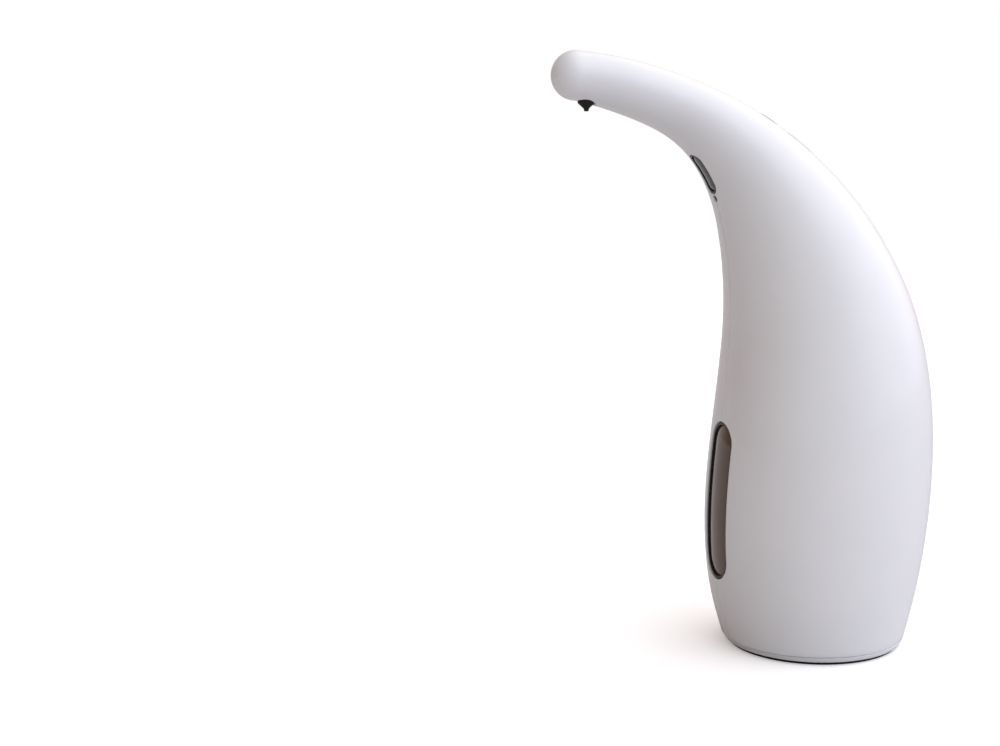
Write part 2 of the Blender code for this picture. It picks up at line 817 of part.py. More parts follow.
def make_window(looks):
    surround_back = window_recess + window_thickness
    surround = within(window_prism(window_length + 2.0 * window_surround,
                                   window_width + 2.0 * window_surround, 0.0),
                      band(surround_recess, surround_back))
    cut(surround, window_prism(window_length, window_width, 0.0))
    piece(surround, "window_surround", looks["dark"])
    pane = within(window_prism(window_length - 2.0 * window_play, window_width - 2.0 * window_play, 0.0),
                  band(window_recess, surround_back))
    piece(pane, "level_window", looks["smoke"])


def make_base(looks):
    low_half = half_depth_at(0.0)[0]
    rim_half = half_depth_at(rim_top)[0] - rim_inset
    inner_half = half_depth_at(rim_height)[0] - shell_wall - 2.0 * fit_gap
    outline = [
        (0.0, foot_height),
        (low_half - rim_round, foot_height),
        (low_half - 0.4 * rim_round, foot_height + 0.3 * rim_round),
        (low_half, foot_height + rim_round),
        (rim_half, rim_top),
        (inner_half, rim_top),
        (inner_half, rim_top + spigot_height),
        (inner_half - spigot_wall, rim_top + spigot_height),
        (inner_half - spigot_wall, floor_top),
        (0.0, floor_top),
    ]
    tray = placed(turned(outline, body_sides, section_width_share), Matrix.Translation(at(0.0, 0.0, 0.0)))
    tube = placed(rod(tube_radius, floor_low, tube_top, steps_fine), Matrix.Translation(tube_axis))
    fuse(tray, tube)
    bore = placed(rod(tube_bore_radius, 0.0, tube_bore_top, steps_fine), Matrix.Translation(tube_axis))
    mouth = rod(door_radius + fit_gap, 0.0, door_top + fit_gap, steps_fine)
    cut(tray, bore, placed(mouth, Matrix.Translation(tube_axis)))
    foot_outer = low_half - rim_round - foot_setback
    foot_inner = foot_outer - foot_width
    play = 0.5 * fit_gap
    foot_top = foot_height + foot_depth
    groove = turned([(foot_inner - play, 0.0), (foot_outer + play, 0.0), (foot_outer + play, foot_top),
                     (foot_inner - play, foot_top)], body_sides, section_width_share)
    cut(tray, placed(groove, Matrix.Translation(at(0.0, 0.0, 0.0))))
    head_seat = foot_height + base_screw_head_height + 2.0 * fit_gap
    for x, forward in base_screw_places:
        for side in (1.0, -1.0):
            place = Matrix.Translation(at(side * x, forward, 0.0))
            cut(tray, placed(rod(base_screw_radius + screw_clearance, 0.0, rim_height + overrun), place))
            cut(tray, placed(rod(base_screw_head_radius + screw_clearance, 0.0, head_seat), place))
    for side in (1.0, -1.0):
        place = Matrix.Translation(terminal_spot(side))
        cut(tray, placed(rod(lead_radius + screw_clearance, tube_bore_top - overrun, tube_top + overrun),
                         place))
    piece(tray, "base_tray", looks["rim"])

    foot = turned([(foot_inner, 0.0), (foot_outer, 0.0), (foot_outer, foot_top), (foot_inner, foot_top)],
                  body_sides, section_width_share)
    piece(placed(foot, Matrix.Translation(at(0.0, 0.0, 0.0))), "foot_ring", looks["rubber"])

    names = ["base_screw_1", "base_screw_2", "base_screw_3", "base_screw_4"]
    spots = [(side * x, forward) for x, forward in base_screw_places for side in (1.0, -1.0)]
    for name, (x, forward) in zip(names, spots):
        low = head_seat - base_screw_head_height
        screw = screw_blank(base_screw_radius, base_screw_head_radius, base_screw_head_height,
                            base_screw_length)
        flip = Matrix.Rotation(math.pi, 4, "X")
        placed(screw, Matrix.Translation(at(x, forward, low + base_screw_head_height)) @ flip)
        piece(screw, name, looks["steel"])


def screw_blank(radius, head_radius, head_height, length):
    """Pan-head screw standing on its tip side, seat at height zero, with a cross recess."""
    outline = [(0.0, -length), (0.6 * radius, -length), (radius, -length + radius), (radius, 0.0),
               (head_radius, 0.0), (head_radius, 0.55 * head_height), (0.7 * head_radius, head_height),
               (0.0, head_height)]
    screw = turned(outline, 8)
    arm = 0.6 * head_radius
    slot = 0.14 * head_radius
    deep = 0.5 * head_height
    for arms in ((arm, slot), (slot, arm)):
        cut(screw, box((-arms[0], -arms[1], deep), (arms[0], arms[1], 2.0 * head_height)))
    return screw


def terminal_spot(side):
    return at(side * 0.5 * cell_spacing, tube_forward - 0.5 * cell_spacing, 0.0)


def make_door(looks):
    groove_low = door_top + seal_groove
    groove_high = groove_low + 2.0 * seal_section + fit_gap
    groove_radius = spigot_radius - seal_groove
    outline = [(0.0, door_low), (door_radius - door_edge, door_low), (door_radius, door_low + door_edge),
               (door_radius, door_top), (spigot_radius, door_top), (spigot_radius, groove_low),
               (groove_radius, groove_low), (groove_radius, groove_high), (spigot_radius, groove_high),
               (spigot_radius, door_spigot_top), (0.0, door_spigot_top)]
    door = turned(outline, steps_fine)
    slot = prism([(y, x) for x, y in stadium(coin_slot_length, coin_slot_width, 4)], 0.0,
                 door_low + coin_slot_depth)
    cut(door, slot)
    for k in range(dimple_count):
        turn = math.pi * (0.5 + 2.0 * k / dimple_count)
        dimple = rod(dimple_radius, 0.0, door_low + dimple_depth, dimple_steps,
                     dimple_place_share * door_radius * math.cos(turn),
                     dimple_place_share * door_radius * math.sin(turn))
        cut(door, dimple)
    placed(door, Matrix.Translation(tube_axis))
    piece(door, "battery_door", looks["door"], pivot=tube_axis.copy())

    ring_height = 0.5 * (groove_low + groove_high)
    ring_radius = groove_radius + 0.5 * fit_gap + seal_section
    ring = [(ring_radius + seal_section * math.cos(math.pi * k / 3.0),
             ring_height + seal_section * math.sin(math.pi * k / 3.0)) for k in range(6)]
    seal = placed(turned(ring, steps_fine), Matrix.Translation(tube_axis))
    piece(seal, "door_seal", looks["rubber"], pivot=tube_axis.copy())


def make_contacts(looks):
    radius = spigot_radius
    carrier = rod(radius, carrier_low, bridge_low, steps_fine)
    piece(placed(carrier, Matrix.Translation(tube_axis)), "contact_carrier", looks["milky"])
    strip = stadium(cell_spacing + contact_width, contact_width, 4)
    for name, side in (("door_bridge_a", -1.0), ("door_bridge_b", 1.0)):
        bridge = prism(strip, bridge_low, bridge_low + contact_thickness)
        placed(bridge, Matrix.Translation(tube_axis + Vector((side * 0.5 * cell_spacing, 0.0, 0.0))))
        piece(bridge, name, looks["steel"])
    across = [(y, x) for x, y in strip]
    bridge = prism(across, top_contact_low, top_contact_low + contact_thickness)
    placed(bridge, Matrix.Translation(tube_axis + Vector((0.0, -0.5 * cell_spacing, 0.0))))
    piece(bridge, "top_bridge", looks["steel"])
    for name, side in (("terminal_plus", 1.0), ("terminal_minus", -1.0)):
        pad = rod(0.5 * contact_width, top_contact_low, top_contact_low + contact_thickness)
        piece(placed(pad, Matrix.Translation(terminal_spot(side))), name, looks["steel"])


def make_cells(looks):
    spots = [(-1.0, -1.0, False), (-1.0, 1.0, True), (1.0, 1.0, False), (1.0, -1.0, True)]
    for number, (side, end, nub_up) in enumerate(spots, 1):
        body = cell_length - cell_nub_height
        face = cell_radius - cell_edge
        outline = [(0.0, 0.0), (face, 0.0), (cell_radius, cell_edge), (cell_radius, body - cell_edge),
                   (face, body), (cell_nub_radius, body), (cell_nub_radius, cell_length),
                   (0.0, cell_length)]
        cell = turned(outline, steps_small)
        place = tube_axis + Vector((side * 0.5 * cell_spacing, -end * 0.5 * cell_spacing, cell_low))
        turn = Matrix.Identity(4)
        if not nub_up:
            turn = Matrix.Translation((0.0, 0.0, cell_length)) @ Matrix.Rotation(math.pi, 4, "X")
        placed(cell, Matrix.Translation(place) @ turn)
        piece(cell, f"battery_cell_{number}", looks["jacket"])


def well(clearance, top):
    """Space that the battery tube and its leads take out of the reservoir, open to the back."""
    radius = tube_radius + clearance
    core = placed(rod(radius, 0.0, top, steps_fine), Matrix.Translation(tube_axis))
    alley = box((-radius, tube_axis.y, 0.0), (radius, tube_axis.y + body_depth, top))
    return fuse(core, alley)


def flat_back(inset):
    """Block behind the flat back of the reservoir, where the leads run."""
    y = axis_y + lead_channel - inset
    reach = body_depth
    return box((-reach, y, -overrun), (reach, y + reach, body_height))


def make_reservoir(looks):
    cup = skin_slab(interior_offset, reservoir_bottom, reservoir_top)
    cut(cup, well(well_clearance, well_top), flat_back(0.0))
    room = skin_slab(interior_offset + reservoir_wall, reservoir_bottom + reservoir_wall,
                     reservoir_top + overrun)
    cut(room, well(well_clearance + reservoir_wall, well_top + reservoir_wall), flat_back(reservoir_wall))
    cut(cup, room)
    piece(cup, "reservoir", looks["smoke"])

    gasket = cut(skin_slab(interior_offset, reservoir_top, gasket_top), flat_back(0.0))
    inner = skin_slab(interior_offset + reservoir_wall, reservoir_top - overrun, gasket_top + overrun)
    cut(gasket, cut(inner, flat_back(reservoir_wall)))
    piece(gasket, "lid_gasket", looks["rubber"])


def make_lid(looks):
    lid = cut(skin_slab(interior_offset, gasket_top, lid_top), flat_back(0.0))
    neck_place = Matrix.Translation(at(0.0, neck_foot_forward, 0.0))
    cut(lid, placed(rod(neck_bore + neck_wall + fit_gap, gasket_top - overrun, lid_top + overrun,
                        steps_fine), neck_place))
    intake_place = Matrix.Translation(at(0.0, pump_forward + intake_offset, 0.0))
    cut(lid, placed(rod(tube_outer + fit_gap, gasket_top - overrun, lid_top + overrun), intake_place))
    bracket_x = board_side + fit_gap
    bracket = box(at(-bracket_x - bracket_thickness, bracket_front, gasket_top + 0.5 * lid_thickness),
                  at(-bracket_x, bracket_back, lid_top + bracket_height))
    fuse(lid, bracket)
    piece(lid, "reservoir_lid", looks["milky"])


def neck_route():
    """Middle line of the fill neck, from the cup under the plug down through the lid."""
    cup = plug_frame @ Vector((0.0, 0.0, -0.75 * neck_cup_depth))
    foot = at(0.0, neck_foot_forward, gasket_top - neck_foot_drop)
    fall = foot - cup
    return [cup + Vector((0.0, fall.y * back_share, fall.z * down_share))
            for back_share, down_share in neck_route_shares]


def make_fill_neck(looks):
    outer = neck_bore + neck_wall
    route = neck_route()
    neck = route_curve(route, outer, 14, 2)
    flange = within(placed(rod(neck_flange_radius, -3.0 * shell_wall, overrun, steps_fine), plug_frame),
                    band(shell_wall + fit_gap, shell_wall + fit_gap + neck_flange_thickness))
    cup = placed(rod(outer, -neck_cup_depth, -shell_wall - 3.0 * fit_gap, steps_round), plug_frame)
    within(cup, solid(skin(shell_wall + fit_gap)))
    fuse(neck, cup, flange)
    collar = rod(neck_foot_radius, lid_top, lid_top + neck_wall, steps_fine)
    fuse(neck, placed(collar, Matrix.Translation(at(0.0, neck_foot_forward, 0.0))))
    bore = route_curve(route + [route[-1] + overrun * down], neck_bore, 15, 2)
    mouth = placed(rod(neck_bore, -neck_cup_depth + neck_wall, overrun, steps_round), plug_frame)
    cut(neck, bore, mouth)
    piece(neck, "fill_neck", looks["milky"])


def make_plug(looks):
    head = within(placed(rod(plug_radius, -2.0 * shell_wall, overrun, steps_fine), plug_frame),
                  band(-plug_proud, plug_thickness - plug_proud))
    stem = placed(rod(plug_stem_radius, -plug_stem_end, -0.5 * plug_thickness, steps_round), plug_frame)
    fuse(head, stem)
    piece(head, "refill_plug", looks["silicone"], pivot=plug_frame.translation.copy())


def make_button(looks):
    head = placed(rod(button_radius, -button_body_depth, overrun, steps_fine), button_frame)
    within(head, solid(skin(-button_proud)))
    flange_low = -button_body_depth - button_flange_thickness
    flange = placed(rod(button_flange_radius, flange_low, -button_body_depth, steps_fine), button_frame)
    stem_top = flange_low + 0.5 * button_flange_thickness
    stem = placed(rod(button_stem_radius, -button_stem_end, stem_top), button_frame)
    fuse(head, flange, stem)
    piece(head, "power_button", looks["button"], pivot=button_frame.translation.copy())

    plunger_top = -(button_stem_end + button_travel + switch_play)
    case_top = plunger_top - switch_plunger_height
    case_low = case_top - switch_height
    half = 0.5 * switch_size
    case = placed(box((-half, -half, case_low), (half, half, case_top)), button_frame)
    plunger = placed(rod(0.29 * switch_size, case_top - 0.5 * switch_height, plunger_top), button_frame)
    fuse(case, plunger)
    piece(case, "tact_switch", looks["dark"])
    board_top = case_low - fit_gap
    board = box((-0.5 * switch_board_width, -0.5 * switch_board_length, board_top - board_thickness),
                (0.5 * switch_board_width, 0.5 * switch_board_length, board_top))
    piece(placed(board, button_frame), "switch_board", looks["board"])


def make_sensor(looks):
    back = -sensor_board_depth + fit_gap
    outer = stadium(sensor_length, sensor_width)
    inner = stadium(sensor_length - 2.0 * bezel_wall, sensor_width - 2.0 * bezel_wall)
    bezel = placed(prism(outer, back, overrun), sensor_frame)
    within(bezel, solid(skin(bezel_recess)))
    flange_outline = stadium(sensor_length + 2.0 * bezel_flange, sensor_width + 2.0 * bezel_flange)
    flange = placed(prism(flange_outline, -4.0 * shell_wall, overrun), sensor_frame)
    within(flange, band(shell_wall + fit_gap, shell_wall + fit_gap + bezel_flange_thickness))
    clear = placed(rod(light_radius + 2.0 * screw_clearance, -4.0 * shell_wall, overrun, y=-light_offset),
                   sensor_frame)
    cut(flange, clear)
    fuse(bezel, flange)
    cut(bezel, placed(prism(inner, -4.0 * shell_wall, 2.0 * overrun), sensor_frame))
    piece(bezel, "sensor_bezel", looks["dark"])

    trim = 2.0 * bezel_wall + 2.0 * bezel_play
    lens = placed(prism(stadium(sensor_length - trim, sensor_width - trim), -2.0 * shell_wall, overrun),
                  sensor_frame)
    within(lens, band(lens_recess, lens_recess + lens_thickness))
    piece(lens, "sensor_lens", looks["lens"])

    board_front_z = -sensor_board_depth
    board = box((-0.5 * sensor_board_width, -sensor_board_bottom, board_front_z - board_thickness),
                (0.5 * sensor_board_width, sensor_board_top, board_front_z))
    piece(placed(board, sensor_frame), "sensor_board", looks["board"])

    low = board_front_z
    for name, end in (("ir_emitter", 1.0), ("ir_receiver", -1.0)):
        outline = [(0.0, 0.0), (diode_radius, 0.0), (diode_radius, diode_length - diode_radius),
                   (0.72 * diode_radius, diode_length - 0.3 * diode_radius), (0.0, diode_length)]
        diode = turned(outline, steps_small)
        placed(diode, sensor_frame @ Matrix.Translation((0.0, end * 0.5 * diode_spacing, low)))
        piece(diode, name, looks["lens"] if end > 0.0 else looks["dark"])

    light = placed(rod(light_radius, low, overrun, y=-light_offset), sensor_frame)
    within(light, solid(skin(-light_proud)))
    base = placed(rod(light_flange_radius, low, low + light_flange_height, y=-light_offset), sensor_frame)
    fuse(light, base)
    piece(light, "status_light", looks["dark"])


def make_spout(looks):
    place = Matrix.Translation(at(0.0, nozzle_forward, 0.0))
    straight = nozzle_top - (nozzle_tip + nozzle_drop)
    outline = [(nozzle_bore, nozzle_tip), (nozzle_tip_radius, nozzle_tip),
               (nozzle_radius, nozzle_top - straight), (nozzle_radius, nozzle_top),
               (elbow_bore, nozzle_top), (nozzle_bore, nozzle_top - 0.6 * straight)]
    nozzle = placed(turned(outline, steps_round), place)
    piece(nozzle, "nozzle", looks["rubber"])

    elbow_top = nozzle_top + elbow_height
    elbow = placed(rod(elbow_radius, nozzle_top, elbow_top, steps_round), place)
    mid = nozzle_top + 0.55 * elbow_height
    toward_back = Matrix.Translation(at(0.0, nozzle_forward, mid)) @ Matrix.Rotation(-0.5 * math.pi, 4, "X")
    stub = placed(rod(barb_radius, 0.0, elbow_radius + barb_length), toward_back)
    fuse(elbow, stub)
    cut(elbow, placed(rod(elbow_bore, nozzle_top - overrun, mid + barb_bore), place))
    cut(elbow, placed(rod(barb_bore, 0.0, elbow_radius + barb_length + overrun), toward_back))
    piece(elbow, "nozzle_elbow", looks["milky"])
    return mid


def make_tubes(looks, spout_mid):
    low = pump_top + fit_gap
    start = at(outlet_reach, pump_forward - outlet_offset, low)
    end = at(0.0, nozzle_forward - elbow_radius - fit_gap, spout_mid)
    route = straight_run(start, up, barb_length)
    route += [at(x, forward, low + rise) for x, forward, rise in delivery_places]
    route += reversed(straight_run(end, Vector((0.0, 1.0, 0.0)), barb_length))
    piece(hollow_tube(route, tube_outer, tube_bore, 23), "delivery_tube", looks["silicone"])

    low = reservoir_bottom + reservoir_wall + fit_gap
    top = low + filter_height
    start = at(0.0, pump_forward + intake_offset, lid_top - fit_gap)
    foot = at(0.0, filter_forward, top - filter_socket + fit_gap)
    route = straight_run(start, down, intake_spigot)
    fall = route[-1].z - foot.z
    lean = foot.y - start.y
    route += [Vector((0.0, start.y + lean * lean_share, foot.z + fall * rise_share))
              for lean_share, rise_share in intake_route_shares]
    route.append(foot)
    piece(hollow_tube(route, tube_outer, tube_bore, 13), "intake_tube", looks["silicone"])

    seat = top - filter_socket
    socket = tube_outer + fit_gap
    outline = [(0.0, low), (filter_radius, low), (filter_radius, top - filter_shoulder),
               (filter_radius - 0.6 * filter_shoulder, top), (socket, top), (socket, seat), (0.0, seat)]
    strainer = turned(outline, steps_small)
    reach = filter_radius + overrun
    half_slot = 0.5 * filter_slot_width
    for k in range(filter_slots):
        turn = math.pi * k / filter_slots
        slot = box((-reach, -half_slot, low - overrun), (reach, half_slot, low + filter_slot_height))
        cut(strainer, placed(slot, Matrix.Rotation(turn, 4, "Z")))
    piece(placed(strainer, Matrix.Translation(at(0.0, filter_forward, 0.0))), "intake_filter",
          looks["acetal"])


def gear_outline(teeth, module, pressure, start):
    """Involute teeth of low point count; one tooth's middle lies at the start angle."""
    pitch = 0.5 * module * teeth
    tip = pitch + addendum_share * module
    root = pitch - dedendum_share * module
    base = pitch * math.cos(pressure)

    def roll(radius):
        if radius <= base:
            return 0.0
        return math.sqrt((radius / base) ** 2 - 1.0) - math.acos(base / radius)

    half_pitch = 0.5 * math.pi / teeth - 0.5 * tooth_clearance / pitch
    outline = []
    low = max(root, base)
    radii = [low, pitch, tip]
    for tooth in range(teeth):
        middle = start + 2.0 * math.pi * tooth / teeth
        sides = []
        for radius in radii:
            sides.append((radius, half_pitch + roll(pitch) - roll(radius)))
        if root < base:
            sides.insert(0, (root, sides[0][1]))
        for radius, turn in sides:
            outline.append((radius * math.cos(middle - turn), radius * math.sin(middle - turn)))
        for radius, turn in reversed(sides):
            outline.append((radius * math.cos(middle + turn), radius * math.sin(middle + turn)))
    return outline


def make_drive(looks):
    shaft_low = pump_low + pump_floor - pivot_depth + pump_side_play
    drive = prism(gear_outline(pump_teeth, pump_module, pump_pressure_angle, 0.0), gear_low,
                  gear_low + pump_gear_height)
    fuse(drive, rod(shaft_radius, shaft_low, reduction_low + reduction_face))
    piece(placed(drive, Matrix.Translation(drive_axis)), "drive_gear", looks["steel"],
          pivot=drive_axis.copy())

    shift = math.pi / pump_teeth
    driven = prism(gear_outline(pump_teeth, pump_module, pump_pressure_angle, math.pi + shift), gear_low,
                   gear_low + pump_gear_height)
    fuse(driven, rod(shaft_radius, shaft_low, pump_top + pivot_depth - pump_side_play))
    piece(placed(driven, Matrix.Translation(driven_axis)), "driven_gear", looks["steel"],
          pivot=driven_axis.copy())

    toward_motor = motor_axis - drive_axis
    line = math.atan2(toward_motor.y, toward_motor.x)
    wheel = prism(gear_outline(reduction_teeth, reduction_module, reduction_pressure_angle, line),
                  reduction_low, reduction_low + reduction_face)
    cut(wheel, rod(shaft_radius + 0.5 * shaft_play, 0.0, body_height))
    piece(placed(wheel, Matrix.Translation(drive_axis)), "reduction_gear", looks["acetal"],
          pivot=drive_axis.copy())

    shift = math.pi / pinion_teeth
    pinion_low = reduction_low - pinion_overlap
    pinion = prism(gear_outline(pinion_teeth, reduction_module, reduction_pressure_angle,
                                line + math.pi + shift), pinion_low,
                   reduction_low + reduction_face + pinion_overlap)
    cut(pinion, rod(motor_shaft_radius + 0.25 * shaft_play, 0.0, body_height))
    piece(placed(pinion, Matrix.Translation(motor_axis)), "motor_pinion", looks["brass"],
          pivot=motor_axis.copy())
    shaft = rod(motor_shaft_radius, pinion_low, mount_top + motor_shaft_grip)
    piece(placed(shaft, Matrix.Translation(motor_axis)), "motor_shaft", looks["steel"],
          pivot=motor_axis.copy())


def make_pump(looks):
    block = rounded_rectangle(pump_half_width, pump_half_depth, pump_corner)
    body = placed(prism(block, pump_low, pump_top), Matrix.Translation(pump_centre))
    lug_y = axis_y - pump_forward + outlet_offset
    cavity_low = pump_low + pump_floor
    bore_height = 0.5 * (cavity_low + pump_top)
    lug = box((0.5 * pump_half_width, lug_y - lug_half_size, bore_height - lug_half_size),
              (outlet_reach + lug_half_size, lug_y + lug_half_size, pump_top))
    barb = rod(barb_radius, bore_height, pump_top + barb_length, x=outlet_reach, y=lug_y)
    intake_y = axis_y - pump_forward - intake_offset
    spigot = rod(barb_radius, pump_low - intake_spigot + 2.0 * fit_gap, pump_low + 0.5 * pump_floor,
                 y=intake_y)
    fuse(body, lug, barb, spigot)
    chamber = 0.5 * pump_module * (pump_teeth + 2.0 * addendum_share) + fit_gap
    for axis in (drive_axis, driven_axis):
        place = Matrix.Translation(axis)
        cut(body, placed(rod(chamber, cavity_low, pump_top + overrun, steps_fine), place))
        cut(body, placed(rod(shaft_radius + shaft_play, cavity_low - pivot_depth, pump_top), place))
    outlet_high = axis_y - pump_forward + outlet_offset + barb_bore
    cut(body, rod(port_radius, cavity_low, pump_top + overrun, y=intake_y))
    cut(body, box((-port_radius, axis_y - pump_forward, cavity_low),
                  (port_radius, outlet_high, pump_top + overrun)))
    cut(body, rod(barb_bore, pump_low - intake_spigot - overrun, cavity_low + pump_side_play, y=intake_y))
    sideways = Matrix.Translation((0.0, lug_y, bore_height)) @ Matrix.Rotation(0.5 * math.pi, 4, "Y")
    cut(body, placed(rod(barb_bore, 0.0, outlet_reach + barb_bore), sideways))
    cut(body, rod(barb_bore, bore_height, pump_top + barb_length + overrun, x=outlet_reach, y=lug_y))
    for x, forward in pump_screw_spots:
        place = Matrix.Translation(at(x, forward, 0.0))
        low = mount_top - pump_screw_length - 2.0 * fit_gap
        cut(body, placed(rod(pump_screw_radius + screw_clearance, low, pump_top + overrun), place))
    piece(body, "pump_body", looks["milky"])

    cover = placed(prism(block, pump_top, cover_top), Matrix.Translation(pump_centre))
    for x, forward in pump_post_spots:
        post = rod(post_radius, cover_top - 0.5 * cover_thickness, mount_low)
        fuse(cover, placed(post, Matrix.Translation(at(x, forward, 0.0))))
    for x, forward in pump_screw_spots:
        place = Matrix.Translation(at(x, forward, 0.0))
        cut(cover, placed(rod(pump_screw_radius + screw_clearance, pump_top - overrun, mount_top), place))
    cut(cover, placed(rod(shaft_radius + shaft_play, pump_top - overrun, cover_top + overrun),
                      Matrix.Translation(drive_axis)))
    cut(cover, placed(rod(shaft_radius + shaft_play, pump_top - overrun, pump_top + pivot_depth),
                      Matrix.Translation(driven_axis)))
    piece(cover, "pump_cover", looks["milky"])

    grip = motor_radius + collar_play
    plate = placed(prism(block, mount_low, mount_top), Matrix.Translation(pump_centre))
    collar = rod(grip + collar_wall, mount_low, mount_top + collar_height, steps_fine)
    fuse(plate, placed(collar, Matrix.Translation(motor_axis)))
    cut(plate, placed(rod(grip, mount_top, mount_top + 2.0 * collar_height, steps_fine),
                      Matrix.Translation(motor_axis)))
    cut(plate, placed(rod(motor_boss_radius, mount_low - overrun, mount_top + overrun),
                      Matrix.Translation(motor_axis)))
    for x, forward in pump_screw_spots:
        place = Matrix.Translation(at(x, forward, 0.0))
        cut(plate, placed(rod(pump_screw_radius + screw_clearance, mount_low - overrun,
                              mount_top + overrun), place))
    piece(plate, "motor_mount", looks["milky"])

    for name, (x, forward) in zip(("pump_screw_1", "pump_screw_2"), pump_screw_spots):
        screw = screw_blank(pump_screw_radius, pump_screw_head_radius, pump_screw_head_height,
                            pump_screw_length)
        piece(placed(screw, Matrix.Translation(at(x, forward, mount_top))), name, looks["steel"])


def make_motor(looks):
    cap_top = motor_top + motor_cap_height
    outline = [(0.0, mount_top), (motor_radius, mount_top), (motor_radius, motor_top - motor_edge),
               (motor_radius - motor_edge, motor_top), (motor_cap_radius, motor_top),
               (motor_cap_radius, cap_top), (0.0, cap_top)]
    can = turned(outline, steps_fine)
    cut(can, rod(motor_shaft_radius + fit_gap, mount_low, mount_top + motor_shaft_grip + fit_gap))
    piece(placed(can, Matrix.Translation(motor_axis)), "motor_can", looks["steel"])


def make_control_board(looks):
    low = lid_top + fit_gap
    inner_x = -board_side + board_thickness
    board = box(at(-board_side, board_front, low), at(inner_x, board_back, low + board_height))
    chip_middle = at(inner_x, 0.5 * (board_back + board_front), low + chip_rise)
    half = 0.5 * chip_size
    sink = 0.5 * board_thickness
    chip = box(chip_middle - Vector((sink, half, half)), chip_middle + Vector((chip_height, half, half)))
    plug_middle = at(inner_x, board_back + header_setback, low + header_rise)
    header = box(plug_middle - Vector((sink, 0.5 * header_length, 0.5 * header_height)),
                 plug_middle + Vector((header_depth, 0.5 * header_length, 0.5 * header_height)))
    fuse(board, chip, header)
    piece(board, "control_board", looks["board"])


def make_leads(looks):
    low = lid_top + fit_gap
    edge_x = -board_side + 0.5 * board_thickness
    rise = tube_top + 0.5 * well_headroom
    lane = -lead_lane
    start_height = top_contact_low + contact_thickness + fit_gap
    for name, side, look, landing in (("lead_plus", 1.0, "red", low + plus_landing),
                                      ("lead_minus", -1.0, "black", low + minus_landing)):
        lane_x = side * lane_half_spacing
        spot = terminal_spot(side)
        start = spot + start_height * up
        route = straight_run(start, up, tube_top + lead_radius - start_height)
        for x_shift, forward, height in low_turn_places:
            route.append(at(side * x_shift, forward, rise + height))
        lane_low = rise + lane_start
        lane_high = reservoir_top - lane_end
        for height in (lane_low, 0.5 * (lane_low + lane_high), lane_high):
            route.append(at(lane_x, lane, height))
        route.append(at(lane_x, lane + lid_shift, lid_top))
        for x_shift, forward, height in high_turn_places:
            route.append(at(lane_x + x_shift, lane + forward, landing + height))
        route.append(at(edge_x + edge_swing, 0.5 * (board_back + lane) + edge_lead, landing))
        route += reversed(straight_run(at(edge_x, board_back - fit_gap, landing), Vector((0.0, 1.0, 0.0)),
                                       edge_run))
        piece(route_curve(route, lead_radius, 28, lead_resolution), name, looks[look])

    board_top = low + board_height + fit_gap
    sensor_end = Vector((sensor_lead_x, sensor_lead_y, -sensor_board_depth - board_thickness - fit_gap))
    route = straight_run(at(edge_x, sensor_lead_forward, board_top), up, lead_rise)
    route += [at(x, forward, board_top + height) for x, forward, height in sensor_lead_places]
    route += [sensor_frame @ (sensor_end + step * down) for step in sensor_lead_steps]
    piece(route_curve(route, lead_radius, 19, lead_resolution), "sensor_lead", looks["grey"])

    depth = -(button_stem_end + button_travel + switch_play + switch_plunger_height + switch_height
              + fit_gap + 0.5 * board_thickness)
    switch_end = Vector((-0.5 * switch_board_width - fit_gap, switch_lead_y, depth))
    route = straight_run(at(edge_x, switch_lead_forward, board_top), up, lead_rise)
    route += [at(x, forward, board_top + height) for x, forward, height in switch_lead_places]
    route += [button_frame @ (switch_end + Vector((-step, 0.0, 0.0))) for step in switch_lead_steps]
    piece(route_curve(route, lead_radius, 20, lead_resolution), "switch_lead", looks["grey"])


def make_dispenser():
    clear_scene()
    looks = make_finishes()
    make_shells(looks)
    make_window(looks)
    make_base(looks)
    make_door(looks)
    make_contacts(looks)
    make_cells(looks)
    make_reservoir(looks)
    make_lid(looks)
    make_fill_neck(looks)
    make_plug(looks)
    make_button(looks)
    make_sensor(looks)
    spout_mid = make_spout(looks)
    make_tubes(looks, spout_mid)
    make_drive(looks)
    make_pump(looks)
    make_motor(looks)
    make_control_board(looks)
    make_leads(looks)


make_dispenser()
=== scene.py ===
# Automatic soap dispenser: the finished look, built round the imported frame
import json
import math

import bmesh
import bpy
import numpy as np
from mathutils import Matrix, Quaternion, Vector
from mathutils.bvhtree import BVHTree


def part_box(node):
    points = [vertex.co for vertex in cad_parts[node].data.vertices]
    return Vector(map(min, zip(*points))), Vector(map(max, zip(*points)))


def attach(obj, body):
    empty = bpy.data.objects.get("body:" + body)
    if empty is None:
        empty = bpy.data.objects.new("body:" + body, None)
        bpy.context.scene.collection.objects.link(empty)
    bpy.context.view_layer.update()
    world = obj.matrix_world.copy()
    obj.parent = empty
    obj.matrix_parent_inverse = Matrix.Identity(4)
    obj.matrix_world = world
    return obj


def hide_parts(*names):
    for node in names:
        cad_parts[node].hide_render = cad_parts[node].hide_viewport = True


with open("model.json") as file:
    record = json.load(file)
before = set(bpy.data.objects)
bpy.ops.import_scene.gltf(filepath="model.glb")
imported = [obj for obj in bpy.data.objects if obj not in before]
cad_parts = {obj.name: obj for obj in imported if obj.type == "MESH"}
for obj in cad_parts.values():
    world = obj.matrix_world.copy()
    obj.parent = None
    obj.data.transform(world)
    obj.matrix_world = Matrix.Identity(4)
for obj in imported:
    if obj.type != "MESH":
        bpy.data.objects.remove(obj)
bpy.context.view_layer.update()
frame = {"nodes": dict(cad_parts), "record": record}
nodes = frame["nodes"]
mm = 0.001
print("frame loaded with", len(nodes), "nodes")

